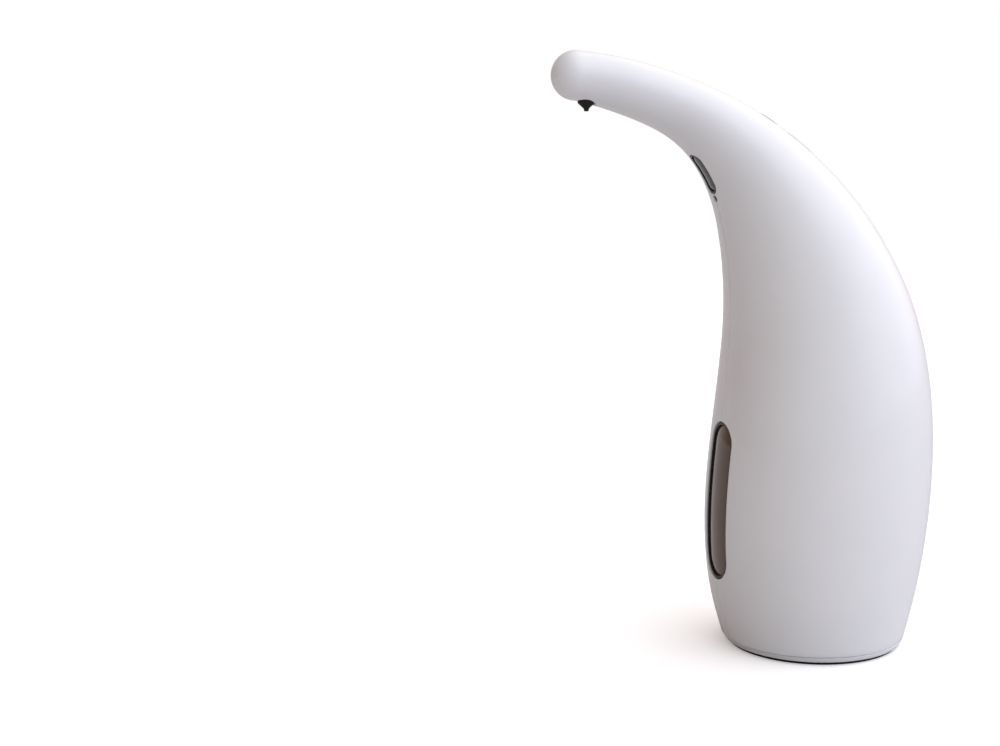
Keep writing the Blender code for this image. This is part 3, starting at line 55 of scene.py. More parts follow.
# The body's side view, as (forward, height) shares of its depth and height
bodyForm = {
    "height": 197.2 * mm,
    "depth": 132.0 * mm,
    "widthShare": 0.93,        # half width of a section for each half depth
    "wall": 2.2 * mm,
    "rimHeight": 3.1 * mm,
    "neckHeight": 159.8 * mm,  # the spout's underside starts above this
    "rings": 132,
    "sides": 128,
    "toolRings": 60,
    "toolSides": 64,
    "capRings": 16,
    "front": [(0.229, 0.0), (0.271, 0.112), (0.279, 0.254), (0.257, 0.406), (0.237, 0.532),
              (0.238, 0.632), (0.263, 0.735), (0.318, 0.815), (0.412, 0.871), (0.549, 0.907),
              (0.636, 0.922)],
    "back": [(-0.228, 0.0), (-0.265, 0.112), (-0.293, 0.254), (-0.295, 0.406), (-0.261, 0.543),
             (-0.190, 0.659), (-0.071, 0.772), (0.091, 0.870), (0.276, 0.940), (0.477, 0.984),
             (0.636, 1.0)],
}

# Heights of the front's fittings, and how far forward those of the back and the battery tube are
placeForm = {
    "window": 50.6 * mm,
    "sensor": 158.7 * mm,
    "plug": 7.5 * mm,
    "button": 18.8 * mm,
    "tube": -8.0 * mm,
}


def smoothLine(shares, count):
    # relaxed curve through the points, at even steps
    p = np.array(shares) * np.array([bodyForm["depth"], bodyForm["height"]])
    n = len(p)
    system = np.diag(np.full(n, 4.0)) + np.diag(np.ones(n - 1), 1) + np.diag(np.ones(n - 1), -1)
    system[0, 0] = system[-1, -1] = 2.0
    right = np.zeros_like(p)
    right[1:-1] = 3.0 * (p[2:] - p[:-2])
    right[0], right[-1] = 3.0 * (p[1] - p[0]), 3.0 * (p[-1] - p[-2])
    slope = np.linalg.solve(system, right)
    out = []
    for s in np.linspace(0.0, n - 1.0, count):
        k = min(int(s), n - 2)
        f = s - k
        out.append((2 * f ** 3 - 3 * f ** 2 + 1) * p[k] + (f ** 3 - 2 * f ** 2 + f) * slope[k]
                   + (3 * f ** 2 - 2 * f ** 3) * p[k + 1] + (f ** 3 - f ** 2) * slope[k + 1])
    return np.array(out)


frontLine, backLine = smoothLine(bodyForm["front"], 400), smoothLine(bodyForm["back"], 400)
spoutRadius = 0.5 * float(np.linalg.norm(backLine[-1] - frontLine[-1]))
spoutMiddle = 0.5 * float(frontLine[-1][0] + backLine[-1][0])
axisY = 0.5 * (spoutMiddle + spoutRadius + float(backLine[:, 0].min()))


def at(x, forward, height):
    return Vector((x, axisY - forward, height))


def surfaceFrame(line, index):
    # X across, Z out of the body, Y along its middle line
    ahead = line[index + 1] - line[index - 1]
    ahead = ahead / np.linalg.norm(ahead)
    side = 1.0 if line is frontLine else -1.0
    out = Vector((0.0, -side * ahead[1], -side * ahead[0]))
    across = Vector((1.0, 0.0, 0.0))
    place = Matrix((across, out.cross(across), out)).transposed().to_4x4()
    place.translation = at(0.0, *line[index])
    return place


def crossing(values, wanted):
    signs = np.sign(np.array(values) - wanted)
    return int(np.argmax(signs[1:] * signs[:-1] <= 0.0)) + 1


def frontFrame(height):
    return surfaceFrame(frontLine, crossing(frontLine[:, 1], height))


def backFrame(forward):
    start = int(np.argmin(backLine[:, 0]))
    return surfaceFrame(backLine, start + crossing(backLine[start:, 0], forward))


def undersideHeight(forward):
    start = crossing(frontLine[:, 1], bodyForm["neckHeight"])
    return float(frontLine[start + crossing(frontLine[start:, 0], forward)][1])


def halfDepth(height):
    front = float(np.interp(height, frontLine[:, 1], frontLine[:, 0]))
    back = float(np.interp(height, backLine[:, 1], backLine[:, 0]))
    return 0.5 * (front - back)


windowFrame = frontFrame(placeForm["window"])
sensorFrame = frontFrame(placeForm["sensor"])
plugFrame = backFrame(placeForm["plug"])
buttonFrame = backFrame(placeForm["button"])
tubeAxis = at(0.0, placeForm["tube"], 0.0)


# Mesh work

def makeObject(name, bm):
    mesh = bpy.data.meshes.new(name)
    bm.to_mesh(mesh)
    bm.free()
    thing = bpy.data.objects.new(name, mesh)
    bpy.context.scene.collection.objects.link(thing)
    return thing


def bake(thing):
    # turns the object's modifiers into mesh
    bpy.context.view_layer.update()
    graph = bpy.context.evaluated_depsgraph_get()
    solid = bpy.data.meshes.new_from_object(thing.evaluated_get(graph))
    thing.modifiers.clear()
    old, thing.data = thing.data, solid
    bpy.data.meshes.remove(old)
    return thing


def carve(thing, operation, *tools):
    for tool in tools:
        step = thing.modifiers.new("carve", "BOOLEAN")
        step.operation, step.solver, step.object = operation, "EXACT", tool
    bake(thing)
    for tool in tools:
        bpy.data.objects.remove(tool, do_unlink=True)
    return thing


def cleaned(thing, merge=0.05 * mm, sliver=0.02 * mm, flat=0.2):
    # merges the slivers that cuts leave
    bm = bmesh.new()
    bm.from_mesh(thing.data)
    bmesh.ops.remove_doubles(bm, verts=bm.verts, dist=merge)
    bmesh.ops.dissolve_degenerate(bm, dist=sliver, edges=bm.edges)
    bmesh.ops.dissolve_limit(bm, angle_limit=math.radians(flat), verts=bm.verts, edges=bm.edges)
    bm.to_mesh(thing.data)
    bm.free()
    return thing


def rounded(thing, width, segments=3, angle=50.0):
    step = thing.modifiers.new("rounded", "BEVEL")
    step.width, step.segments, step.limit_method = width, segments, "ANGLE"
    step.angle_limit, step.use_clamp_overlap, step.profile = math.radians(angle), False, 0.5
    step.miter_outer = "MITER_ARC"
    return bake(thing)


def inOrder(bm):
    # spin, extrude and bevel list edges and faces differently in each run, so they are sorted
    bm.verts.index_update()
    count = len(bm.verts)

    def rank(item):
        low, middle, *rest = sorted(v.index for v in item.verts)
        return (low * count + middle) * count + (rest[0] if rest else 0)

    bm.edges.sort(key=rank)
    bm.faces.sort(key=rank)
    return bm


def soften(bm, width, segments=3, angle=35.0):
    limit = math.radians(angle)
    edges = [e for e in bm.edges if len(e.link_faces) == 2 and e.calc_face_angle(0.0) > limit]
    bmesh.ops.bevel(bm, geom=edges, offset=width, offset_type="OFFSET", segments=segments, profile=0.5,
                    affect="EDGES", material=-1, clamp_overlap=True)
    return inOrder(bm)


def movedTo(bm, middle):
    bm.transform(Matrix.Translation(middle))
    return bm


def turnedForm(outline, steps=96, squeeze=1.0):
    # spins (radius, height) points about Z
    bm = bmesh.new()
    points = [bm.verts.new((radius, 0.0, height)) for radius, height in outline]
    pairs = list(zip(points[:-1], points[1:]))
    if outline[0][0] > 0.0 or outline[-1][0] > 0.0:
        pairs.append((points[-1], points[0]))
    edges = [bm.edges.new(pair) for pair in pairs]
    bmesh.ops.spin(bm, geom=points + edges, cent=(0, 0, 0), axis=(0, 0, 1), angle=2.0 * math.pi,
                   steps=steps, use_merge=True)
    bmesh.ops.remove_doubles(bm, verts=bm.verts, dist=0.001 * mm)
    bmesh.ops.scale(bm, vec=(squeeze, 1.0, 1.0), verts=bm.verts)
    bmesh.ops.recalc_face_normals(bm, faces=bm.faces)
    return inOrder(bm)


def rod(radius, low, high, place=Matrix.Identity(4), steps=64):
    bm = bmesh.new()
    bmesh.ops.create_cone(bm, cap_ends=True, cap_tris=False, segments=steps, radius1=radius,
                          radius2=radius, depth=high - low)
    bmesh.ops.translate(bm, vec=(0.0, 0.0, 0.5 * (low + high)), verts=bm.verts)
    bm.transform(place)
    return makeObject("tool", bm)


def block(low, high, place=Matrix.Identity(4)):
    bm = bmesh.new()
    bmesh.ops.create_cube(bm, size=1.0)
    low, high = Vector(low), Vector(high)
    bmesh.ops.scale(bm, vec=high - low, verts=bm.verts)
    bmesh.ops.translate(bm, vec=0.5 * (low + high), verts=bm.verts)
    bm.transform(place)
    return makeObject("tool", bm)


def loopForm(length, rows, ring=False, arcSteps=64, runSteps=22):
    # extrudes a round-ended loop through rows of (width, height); a zero width closes the form
    bm = bmesh.new()
    widest = max(width for width, height in rows)
    reach = 0.5 * (length - widest)
    bmesh.ops.create_circle(bm, cap_ends=False, radius=0.5 * widest, segments=arcSteps)
    if reach > 0.0:
        for side in (1.0, -1.0):
            ends = [v for v in bm.verts if side * v.co.y > 0.001 * widest]
            bmesh.ops.translate(bm, vec=(0.0, side * reach, 0.0), verts=ends)
        runs = [e for e in bm.edges if e.calc_length() > 0.5 * reach]
        bmesh.ops.subdivide_edges(bm, edges=runs, cuts=runSteps)
    first, edges = bm.verts[:], bm.edges[:]
    spots = {v: v.co.copy() for v in first}
    joined = []
    for number, (width, height) in enumerate(rows + rows[:1] if ring else rows):
        made = bmesh.ops.extrude_edge_only(bm, edges=edges)["geom"]
        edges = [item for item in made if isinstance(item, bmesh.types.BMEdge)]
        below, spots = spots, {}
        for v in (item for item in made if isinstance(item, bmesh.types.BMVert)):
            spots[v] = next(below[e.other_vert(v)] for e in v.link_edges if e.other_vert(v) in below)
            x, y, share = spots[v].x, spots[v].y, width / widest
            middle = max(-reach, min(reach, y))
            v.co = (x * share, middle + (y - middle) * share, height)
        if width == 0.0 or (ring and number in (0, len(rows))):
            joined += list(spots)
    bmesh.ops.delete(bm, geom=first, context="VERTS")
    bmesh.ops.remove_doubles(bm, verts=joined, dist=0.001 * mm)
    bmesh.ops.recalc_face_normals(bm, faces=bm.faces)
    return inOrder(bm)


def arcRows(out, up, steps, middle=(0.0, 0.0), first=0.0, last=90.0):
    # points on an arc, without its first one, by their angle from the outward direction
    turns = [math.radians(first + (last - first) * k / steps) for k in range(1, steps + 1)]
    return [(middle[0] + out * math.cos(turn), middle[1] + up * math.sin(turn)) for turn in turns]


def inMillimetres(rows):
    return [(out * mm, up * mm) for out, up in rows]


def crownRows(width, low, high, steps, power):
    # rows of a gentle dome, from its edge to its middle line
    shares = [1.0 - k / steps for k in range(1, steps + 1)]
    return [(width * share, low + (high - low) * (1.0 - share ** power)) for share in shares]


def prismTool(place, length, width, low, high):
    bm = loopForm(length, [(0.0, low), (width, low), (width, high), (0.0, high)], runSteps=2)
    bm.transform(place)
    return makeObject("tool", bm)


def bodySections(inset, rings):
    # one matrix for each section, which takes a unit circle to its ellipse
    sections = []

    def add(middle, direction, half, width):
        sections.append(Matrix(((width, 0.0, 0.0, 0.0),
                                (0.0, -direction[0] * half, -direction[1], axisY - middle[0]),
                                (0.0, direction[1] * half, -direction[0], middle[1]),
                                (0.0, 0.0, 0.0, 1.0))))

    share = bodyForm["widthShare"]
    for front, back in zip(smoothLine(bodyForm["front"], rings), smoothLine(bodyForm["back"], rings)):
        along = 0.5 * (back - front)
        half = float(np.linalg.norm(along))
        middle, direction = 0.5 * (front + back), along / half
        add(middle, direction, half - inset, share * half - inset)
    ahead = np.array([direction[1], -direction[0]])
    steps = bodyForm["capRings"]
    for k in range(1, steps):
        turn = 0.5 * math.pi * k / steps
        add(middle + ahead * (half - inset) * math.sin(turn), direction,
            (half - inset) * math.cos(turn), (share * half - inset) * math.cos(turn))
    return sections, at(0.0, *(middle + ahead * (half - inset)))


def bodySkin(inset, rings, sides):
    sections, tip = bodySections(inset, rings)
    bm = bmesh.new()
    loops = []
    for place in sections:
        made = bmesh.ops.create_circle(bm, cap_ends=False, radius=1.0, segments=sides, matrix=place)
        loops.append(list(dict.fromkeys(e for v in made["verts"] for e in v.link_edges)))
    for one, other in zip(loops[:-1], loops[1:]):
        bmesh.ops.bridge_loops(bm, edges=one + other)
    bmesh.ops.edgeloop_fill(bm, edges=loops[0])
    nose = bmesh.ops.edgeloop_fill(bm, edges=loops[-1])["faces"]
    for v in bmesh.ops.poke(bm, faces=nose)["verts"]:
        v.co = tip
    bmesh.ops.recalc_face_normals(bm, faces=bm.faces)
    return bm


outerSkin = bodySkin(0.0, bodyForm["rings"], bodyForm["sides"])
bodyTree = BVHTree.FromBMesh(outerSkin)


def layOnBody(bm, place, above=15.0 * mm, reach=60.0 * mm):
    # each corner keeps its height above the body's skin, along the frame's own Z
    out = (place.to_3x3() @ Vector((0.0, 0.0, 1.0))).normalized()
    for v in bm.verts:
        start = place @ Vector((v.co.x, v.co.y, above))
        hit = bodyTree.ray_cast(start, -out, reach)[0]
        v.co = hit + out * v.co.z
    return bm


# Finishes

class Field:
    # a value that changes over a surface; a sum or product of fields adds Math nodes
    def __init__(self, finish, socket):
        self.finish = finish
        self.socket = socket

    def combine(self, operation, first, second):
        return self.finish.node("ShaderNodeMath", {"operation": operation}, {0: first, 1: second})

    def __add__(self, other):
        return self.combine("ADD", self, other)

    def __radd__(self, other):
        return self.combine("ADD", other, self)

    def __mul__(self, other):
        return self.combine("MULTIPLY", self, other)

    def __rmul__(self, other):
        return self.combine("MULTIPLY", other, self)


class Finish:
    def __init__(self, name, fixed):
        self.material = bpy.data.materials.new(name)
        self.start(self.material, "Principled BSDF", fixed)
        self.place = self.node("ShaderNodeTexCoord", {}, {}, "Object")

    def start(self, owner, shader, fixed):
        owner.use_nodes = True
        self.tree = owner.node_tree
        self.shader = self.tree.nodes[shader]
        for socket, value in fixed.items():
            self.shader.inputs[socket].default_value = value

    def node(self, kind, settings, sockets, out=0):
        made = self.tree.nodes.new(kind)
        for key, value in settings.items():
            setattr(made, key, value)
        for key, value in sockets.items():
            if isinstance(value, Field):
                self.tree.links.new(value.socket, made.inputs[key])
            else:
                made.inputs[key].default_value = value
        return Field(self, made.outputs[out])

    def feed(self, socket, field):
        self.tree.links.new(field.socket, self.shader.inputs[socket])

    def stretched(self, scale, turn=(0.0, 0.0, 0.0)):
        return self.node("ShaderNodeMapping", {}, {"Vector": self.place, "Rotation": turn,
                                                   "Scale": scale})

    def noise(self, scale, detail=3.0, roughness=0.5, place=None):
        return self.node("ShaderNodeTexNoise", {}, {"Vector": place or self.place, "Scale": scale,
                                                    "Detail": detail, "Roughness": roughness})

    def between(self, field, low, high):
        # carries a field that runs about 0.3 to 0.7 over to the range from low to high
        return self.node("ShaderNodeMapRange", {}, {"Value": field, "From Min": 0.3, "From Max": 0.7,
                                                    "To Min": low, "To Max": high})

    def mix(self, share, first, second, kind="MIX"):
        # first and second are plain colours or fields
        ends = [end if isinstance(end, Field) else (*end, 1.0) for end in (first, second)]
        return self.node("ShaderNodeMix", {"data_type": "RGBA", "blend_type": kind},
                         {0: share, 6: ends[0], 7: ends[1]}, 2)

    def tint(self, field, first, second):
        self.feed("Base Color", self.mix(field, first, second))

    def bump(self, field, distance, strength=1.0):
        self.feed("Normal", self.node("ShaderNodeBump", {}, {"Height": field, "Distance": distance,
                                                             "Strength": strength}))


# How fine each pattern is: the higher, the smaller
patternScale = {
    "shade": 38.0,
    "smudge": 150.0,
    "peel": 95.0,
    "stain": 210.0,
    "trace": 520.0,
    "boardGloss": 300.0,
}


def camelName(slot):
    first, *others = slot.split("_")
    return first + "".join(word.title() for word in others)


def mouldedFinish(name, first, second, rough, fixed, grain=900.0, grainDepth=0.01 * mm,
                  peelDepth=0.01 * mm):
    # moulded plastic: slow change of colour and gloss, a soft peel and a fine grain
    made = Finish(name, fixed)
    made.tint(made.between(made.noise(patternScale["shade"], 4.0), 0.0, 1.0), first, second)
    made.feed("Roughness", made.between(made.noise(patternScale["smudge"], 6.0, 0.62), *rough))
    peel = made.noise(patternScale["peel"], 1.0) * (peelDepth / mm)
    made.bump(made.noise(grain, 2.0) * (grainDepth / mm) + peel, mm)
    return made


def metalFinish(name, first, second, rough, along, scratch=0.004 * mm):
    # metal: fine drawn scratches and a faint stain
    made = Finish(name, {"Metallic": 1.0})
    drawn = made.noise(1.0, 4.0, 0.6, made.stretched(along))
    stain = made.noise(patternScale["stain"], 5.0)
    made.tint(made.between(stain, 0.0, 1.0), first, second)
    made.feed("Roughness", made.between(drawn * 0.6 + stain * 0.4, *rough))
    made.bump(drawn, scratch)
    return made


def boardFinish(name):
    # circuit board: lacquer over a net of traces
    made = Finish(name, {"Coat Weight": 0.4, "Coat Roughness": 0.15})
    turned = made.stretched((1.0, 1.0, 1.0), (1.2, 0.0, 0.4))
    traces = made.node("ShaderNodeTexBrick", {"offset": 0.37, "squash": 1.0},
                       {"Vector": turned, "Scale": patternScale["trace"], "Mortar Size": 0.045,
                        "Mortar Smooth": 0.3, "Brick Width": 2.6, "Row Height": 0.62}, "Fac")
    made.tint(traces * 0.75, (0.018, 0.15, 0.06), (0.09, 0.34, 0.15))
    made.feed("Roughness", made.between(made.noise(patternScale["boardGloss"], 4.0), 0.38, 0.52))
    made.bump(traces, 0.03 * mm)
    return made


# For each plastic or rubber: two shades, least and most roughness, fixed sockets, grain and peel
mouldedForm = {
    "gloss_white": ((0.80, 0.80, 0.81), (0.77, 0.775, 0.785), (0.17, 0.24),
                    {"Coat Weight": 0.35, "Coat Roughness": 0.05, "IOR": 1.5},
                    {"grainDepth": 0.0015 * mm, "peelDepth": 0.004 * mm}),
    "rim_white": ((0.76, 0.76, 0.77), (0.72, 0.725, 0.735), (0.26, 0.36), {"IOR": 1.5},
                  {"grainDepth": 0.005 * mm}),
    "dark_rubber": ((0.006, 0.006, 0.006), (0.013, 0.012, 0.012), (0.5, 0.72),
                    {"Specular IOR Level": 0.25}, {"grain": 1300.0, "grainDepth": 0.03 * mm}),
    "door_white": ((0.74, 0.74, 0.75), (0.69, 0.695, 0.70), (0.42, 0.55), {},
                   {"grain": 2600.0, "grainDepth": 0.03 * mm}),
    "cell_jacket": ((0.03, 0.11, 0.065), (0.045, 0.15, 0.09), (0.2, 0.32),
                    {"Coat Weight": 0.5, "Coat Roughness": 0.1}, {}),
    "cell_band": ((0.62, 0.46, 0.20), (0.70, 0.53, 0.25), (0.2, 0.32),
                  {"Metallic": 0.7, "Coat Weight": 0.5, "Coat Roughness": 0.1}, {}),
    "smoky_clear": ((0.165, 0.10, 0.056), (0.135, 0.082, 0.046), (0.08, 0.16),
                    {"Coat Weight": 0.5, "Coat Roughness": 0.03, "IOR": 1.49,
                     "Transmission Weight": 0.35},
                    {"grainDepth": 0.0008 * mm, "peelDepth": 0.004 * mm}),
    "milky_plastic": ((0.80, 0.81, 0.79), (0.72, 0.735, 0.72), (0.34, 0.48),
                      {"Transmission Weight": 0.12}, {}),
    "dark_plastic": ((0.012, 0.012, 0.014), (0.022, 0.021, 0.024), (0.2, 0.34),
                     {"Coat Weight": 0.1, "Coat Roughness": 0.12, "Specular IOR Level": 0.35},
                     {"grainDepth": 0.004 * mm}),
    # lens_grey: a dark smoked lens; its grey-green tone is lifted above that dark colour as a painted
    # sheen, the reflection its glossy face shows
    "lens_grey": ((0.10, 0.115, 0.10), (0.075, 0.085, 0.078), (0.06, 0.14),
                  {"Coat Weight": 0.8, "Coat Roughness": 0.02, "IOR": 1.52,
                   "Transmission Weight": 0.2},
                  {"grainDepth": 0.0008 * mm, "peelDepth": 0.003 * mm}),
    "silicone_clear": ((0.80, 0.81, 0.81), (0.74, 0.755, 0.76), (0.32, 0.44),
                       {"Coat Weight": 0.1, "IOR": 1.41}, {}),
    "button_grey": ((0.50, 0.45, 0.50), (0.45, 0.40, 0.46), (0.36, 0.48), {}, {}),
    "acetal_white": ((0.82, 0.80, 0.75), (0.76, 0.74, 0.69), (0.3, 0.42), {}, {}),
    "red_wire": ((0.55, 0.025, 0.02), (0.45, 0.02, 0.018), (0.32, 0.46), {}, {}),
    "black_wire": ((0.012, 0.012, 0.012), (0.02, 0.02, 0.02), (0.32, 0.46), {}, {}),
    "grey_wire": ((0.32, 0.32, 0.33), (0.26, 0.26, 0.27), (0.36, 0.5), {}, {}),
}
# For each metal: two shades, least and most roughness, and how its fine scratches are stretched
metalForm = {
    "plated_steel": ((0.74, 0.73, 0.71), (0.60, 0.59, 0.57), (0.18, 0.36), (260.0, 260.0, 3200.0)),
    "brass": ((0.83, 0.62, 0.27), (0.70, 0.50, 0.20), (0.2, 0.38), (900.0, 900.0, 5200.0)),
}
finishes = {"board_green": boardFinish("boardGreen")}
for slot, (first, second, rough, fixed, relief) in mouldedForm.items():
    finishes[slot] = mouldedFinish(camelName(slot), first, second, rough, fixed, **relief)
for slot, (first, second, rough, along) in metalForm.items():
    finishes[slot] = metalFinish(camelName(slot), first, second, rough, along)
print("finishes made:", len(finishes))


def dress(thing, body, slot, *stands, angle=40.0, extra=()):
    thing.data.materials.clear()
    for finish in (finishes[slot], *extra):
        thing.data.materials.append(finish.material)
    thing.data.shade_smooth()
    thing.data.set_sharp_from_angle(angle=math.radians(angle))
    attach(thing, body)
    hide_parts(*stands)
    print("piece", thing.name, len(thing.data.polygons), "faces")
    return thing


# Shells
shellForm = {
    "seam": 0.14 * mm,
    "edge": 0.2 * mm,
    "window": (53.4 * mm, 15.4 * mm),
    "sensor": (15.0 * mm, 6.4 * mm),
    "light": 1.15 * mm,
    "lightBelow": 9.0 * mm,     # the light's distance below the sensor's middle
    "plug": 7.3 * mm,
    "button": 4.55 * mm,
    "spout": 2.85 * mm,
    "spoutDeep": 6.8 * mm,      # the spout's hole goes on above the nozzle
    "toolHigh": 4.0 * mm,       # how far the cutting tools stand out of the skin
    "nozzleForward": 80.4 * mm,
    "nozzleSeat": 0.6 * mm,     # the nozzle's top over the inside of the wall
    "nozzleProud": 2.5 * mm,    # its tip below the spout
    "bosses": [(19.2 * mm, -5.0 * mm), (12.0 * mm, 16.5 * mm)],
    "bossRadius": 2.8 * mm,
    "bossBore": 1.35 * mm,
    "bossLow": 5.8 * mm,
    "bossHigh": 11.8 * mm,
    "webLow": 8.7 * mm,
    "webReach": 20.0 * mm,
    "web": 1.8 * mm,
    "shelfInner": 4.7 * mm,
    "shelfMiddle": 4.2 * mm,
    "shelfWidth": 3.0 * mm,
    "shelfTop": -13.0 * mm,
    "shelfThick": 1.0 * mm,
}
spoutHeight = undersideHeight(shellForm["nozzleForward"])
nozzleTop = spoutHeight + bodyForm["wall"] + shellForm["nozzleSeat"]
nozzleTip = spoutHeight - shellForm["nozzleProud"]
lightPlace = sensorFrame @ Matrix.Translation((0.0, -shellForm["lightBelow"], 0.0))


def sliceAt(bm, height):
    every = bm.verts[:] + bm.edges[:] + bm.faces[:]
    bmesh.ops.bisect_plane(bm, geom=every, plane_co=(0.0, 0.0, height), plane_no=(0.0, 0.0, -1.0),
                           clear_outer=True)
    bmesh.ops.holes_fill(bm, edges=[e for e in bm.edges if e.is_boundary], sides=0)
    bmesh.ops.recalc_face_normals(bm, faces=bm.faces)
    return bm


def innerSkin(inset):
    return makeObject("tool", bodySkin(inset, bodyForm["toolRings"], bodyForm["toolSides"]))


def withinWall(tool):
    return carve(tool, "INTERSECT", innerSkin(0.5 * bodyForm["wall"]))


def makeBoss(x, forward):
    # screw post on a web that runs out to the wall
    form = shellForm
    place = Matrix.Translation(at(x, forward, 0.0))
    turn = Matrix.Rotation(math.atan2(-forward, x), 4, "Z")
    web = withinWall(block((0.0, -0.5 * form["web"], form["webLow"]),
                           (form["webReach"], 0.5 * form["web"], form["bossHigh"]), place @ turn))
    post = carve(rod(form["bossRadius"], form["bossLow"], form["bossHigh"], place), "UNION", web)
    return carve(post, "DIFFERENCE", rod(form["bossBore"], 0.0, 2.0 * form["bossHigh"], place, 32))


def makeShelf():
    # fin that carries one edge of the switch board
    form = shellForm
    middle, half, top = form["shelfMiddle"], 0.5 * form["shelfWidth"], form["shelfTop"]
    return withinWall(block((form["shelfInner"], middle - half, top - form["shelfThick"]),
                            (bodyForm["depth"], middle + half, top), buttonFrame))


def makeShells():
    form, wall = shellForm, bodyForm["wall"]
    shell = makeObject("shellLeft", sliceAt(outerSkin.copy(), bodyForm["rimHeight"]))
    carve(shell, "DIFFERENCE", innerSkin(wall))
    deep, through, high = -3.0 * wall, -2.0 * wall, form["toolHigh"]
    spoutPlace = Matrix.Translation(at(0.0, form["nozzleForward"], 0.0))
    carve(shell, "DIFFERENCE",
          prismTool(windowFrame, *form["window"], deep, high),
          prismTool(sensorFrame, *form["sensor"], through, high),
          rod(form["light"], through, high, lightPlace, 40),
          rod(form["plug"], deep, high, plugFrame),
          rod(form["button"], through, high, buttonFrame),
          rod(form["spout"], nozzleTip, nozzleTop + form["spoutDeep"], spoutPlace))
    reach = bodyForm["depth"]
    carve(shell, "INTERSECT", block((0.5 * form["seam"], -reach, 0.0), (reach, reach, 2.0 * reach)))
    rounded(cleaned(shell), form["edge"])
    carve(shell, "UNION", *(makeBoss(*spot) for spot in form["bosses"]), makeShelf())
    mirrored = bmesh.new()
    mirrored.from_mesh(shell.data)
    bmesh.ops.scale(mirrored, vec=(-1.0, 1.0, 1.0), verts=mirrored.verts)
    bmesh.ops.reverse_faces(mirrored, faces=mirrored.faces)
    other = makeObject("shellRight", mirrored)
    dress(shell, "housing", "gloss_white", "shell_left")
    dress(other, "housing", "gloss_white", "shell_right")


makeShells()


# Level window
windowForm = {
    "length": 51.2 * mm,
    "width": 13.2 * mm,
    "surround": 0.9 * mm,
    "surroundTop": -0.5 * mm,
    "surroundRound": 0.18 * mm,
    "paneEdge": -1.25 * mm,
    "paneMiddle": -0.62 * mm,
    "paneRound": 0.2 * mm,
    "crown": (8, 2.4),         # steps and power of the pane's dome
    "back": -2.6 * mm,
    "play": 0.12 * mm,
}


def makeWindow():
    form = windowForm
    outer, inner = form["width"] + 2.0 * form["surround"], form["width"]
    length = form["length"] + 2.0 * form["surround"]
    top, back, edge = form["surroundTop"], form["back"], form["paneEdge"]
    rows = [(outer, top), (inner, top), (inner, back), (outer, back)]
    surround = soften(loopForm(length, rows, ring=True), form["surroundRound"])
    surround = makeObject("windowSurround", layOnBody(surround, windowFrame))
    dress(surround, "housing", "dark_plastic", "window_surround")
    width = form["width"] - 2.0 * form["play"]
    rows = [(0.0, back), (0.5 * width, back), (width, back), (width, edge)]
    rows += crownRows(width, edge, form["paneMiddle"], *form["crown"])
    pane = soften(loopForm(form["length"] - 2.0 * form["play"], rows), form["paneRound"])
    pane = makeObject("windowPane", layOnBody(pane, windowFrame))
    dress(pane, "housing", "smoky_clear", "level_window")


makeWindow()


# Hand sensor and its light
sensorForm = {
    "length": 14.7 * mm,
    "width": 6.1 * mm,
    "wall": 0.7 * mm,
    "bezelTop": -0.25 * mm,
    "bezelRound": 0.15 * mm,
    "lensEdge": -0.75 * mm,
    "lensMiddle": -0.3 * mm,
    "lensThick": 1.0 * mm,
    "lensPlay": 0.3 * mm,
    "lensRound": 0.12 * mm,
    "crown": (6, 2.2),         # steps and power of the lens's dome
    "flange": 0.7 * mm,
    "flangeTop": -2.5 * mm,
    "flangeLow": -3.5 * mm,
    "back": -6.3 * mm,
    "lightRadius": 1.05 * mm,
    "lightProud": 0.8 * mm,
    "lightStem": 0.7 * mm,
    "lightLow": -6.6 * mm,
    "lightShoulder": (-2.4 * mm, -2.2 * mm),
}


def makeSensor():
    form = sensorForm
    outer, inner = form["width"], form["width"] - 2.0 * form["wall"]
    wide = outer + 2.0 * form["flange"]
    length = form["length"] + 2.0 * form["flange"]
    top, back, edge = form["bezelTop"], form["back"], form["lensEdge"]
    rows = [(outer, top), (inner, top), (inner, back), (outer, back),
            (outer, form["flangeLow"]), (wide, form["flangeLow"]),
            (wide, form["flangeTop"]), (outer, form["flangeTop"])]
    bezel = soften(loopForm(length, rows, ring=True, runSteps=8), form["bezelRound"])
    bezel = makeObject("sensorBezel", layOnBody(bezel, sensorFrame))
    dress(bezel, "housing", "dark_plastic", "sensor_bezel")

    width, low = inner - form["lensPlay"], edge - form["lensThick"]
    rows = [(0.0, low), (width, low), (width, edge)]
    rows += crownRows(width, edge, form["lensMiddle"], *form["crown"])
    lens = soften(loopForm(form["length"] - outer + width, rows, runSteps=8), form["lensRound"])
    lens = makeObject("sensorLens", layOnBody(lens, sensorFrame))
    dress(lens, "housing", "lens_grey", "sensor_lens")

    radius, stem, low = form["lightRadius"], form["lightStem"], form["lightLow"]
    rows = [(0.0, low), (stem, low), (stem, form["lightShoulder"][0]),
            (radius, form["lightShoulder"][1]), (radius, 0.0)]
    rows += arcRows(radius, form["lightProud"], 5)[:-1] + [(0.0, form["lightProud"])]
    light = turnedForm(rows, 40)
    light.transform(lightPlace)
    dress(makeObject("statusLight", light), "housing", "dark_plastic", "status_light")


makeSensor()


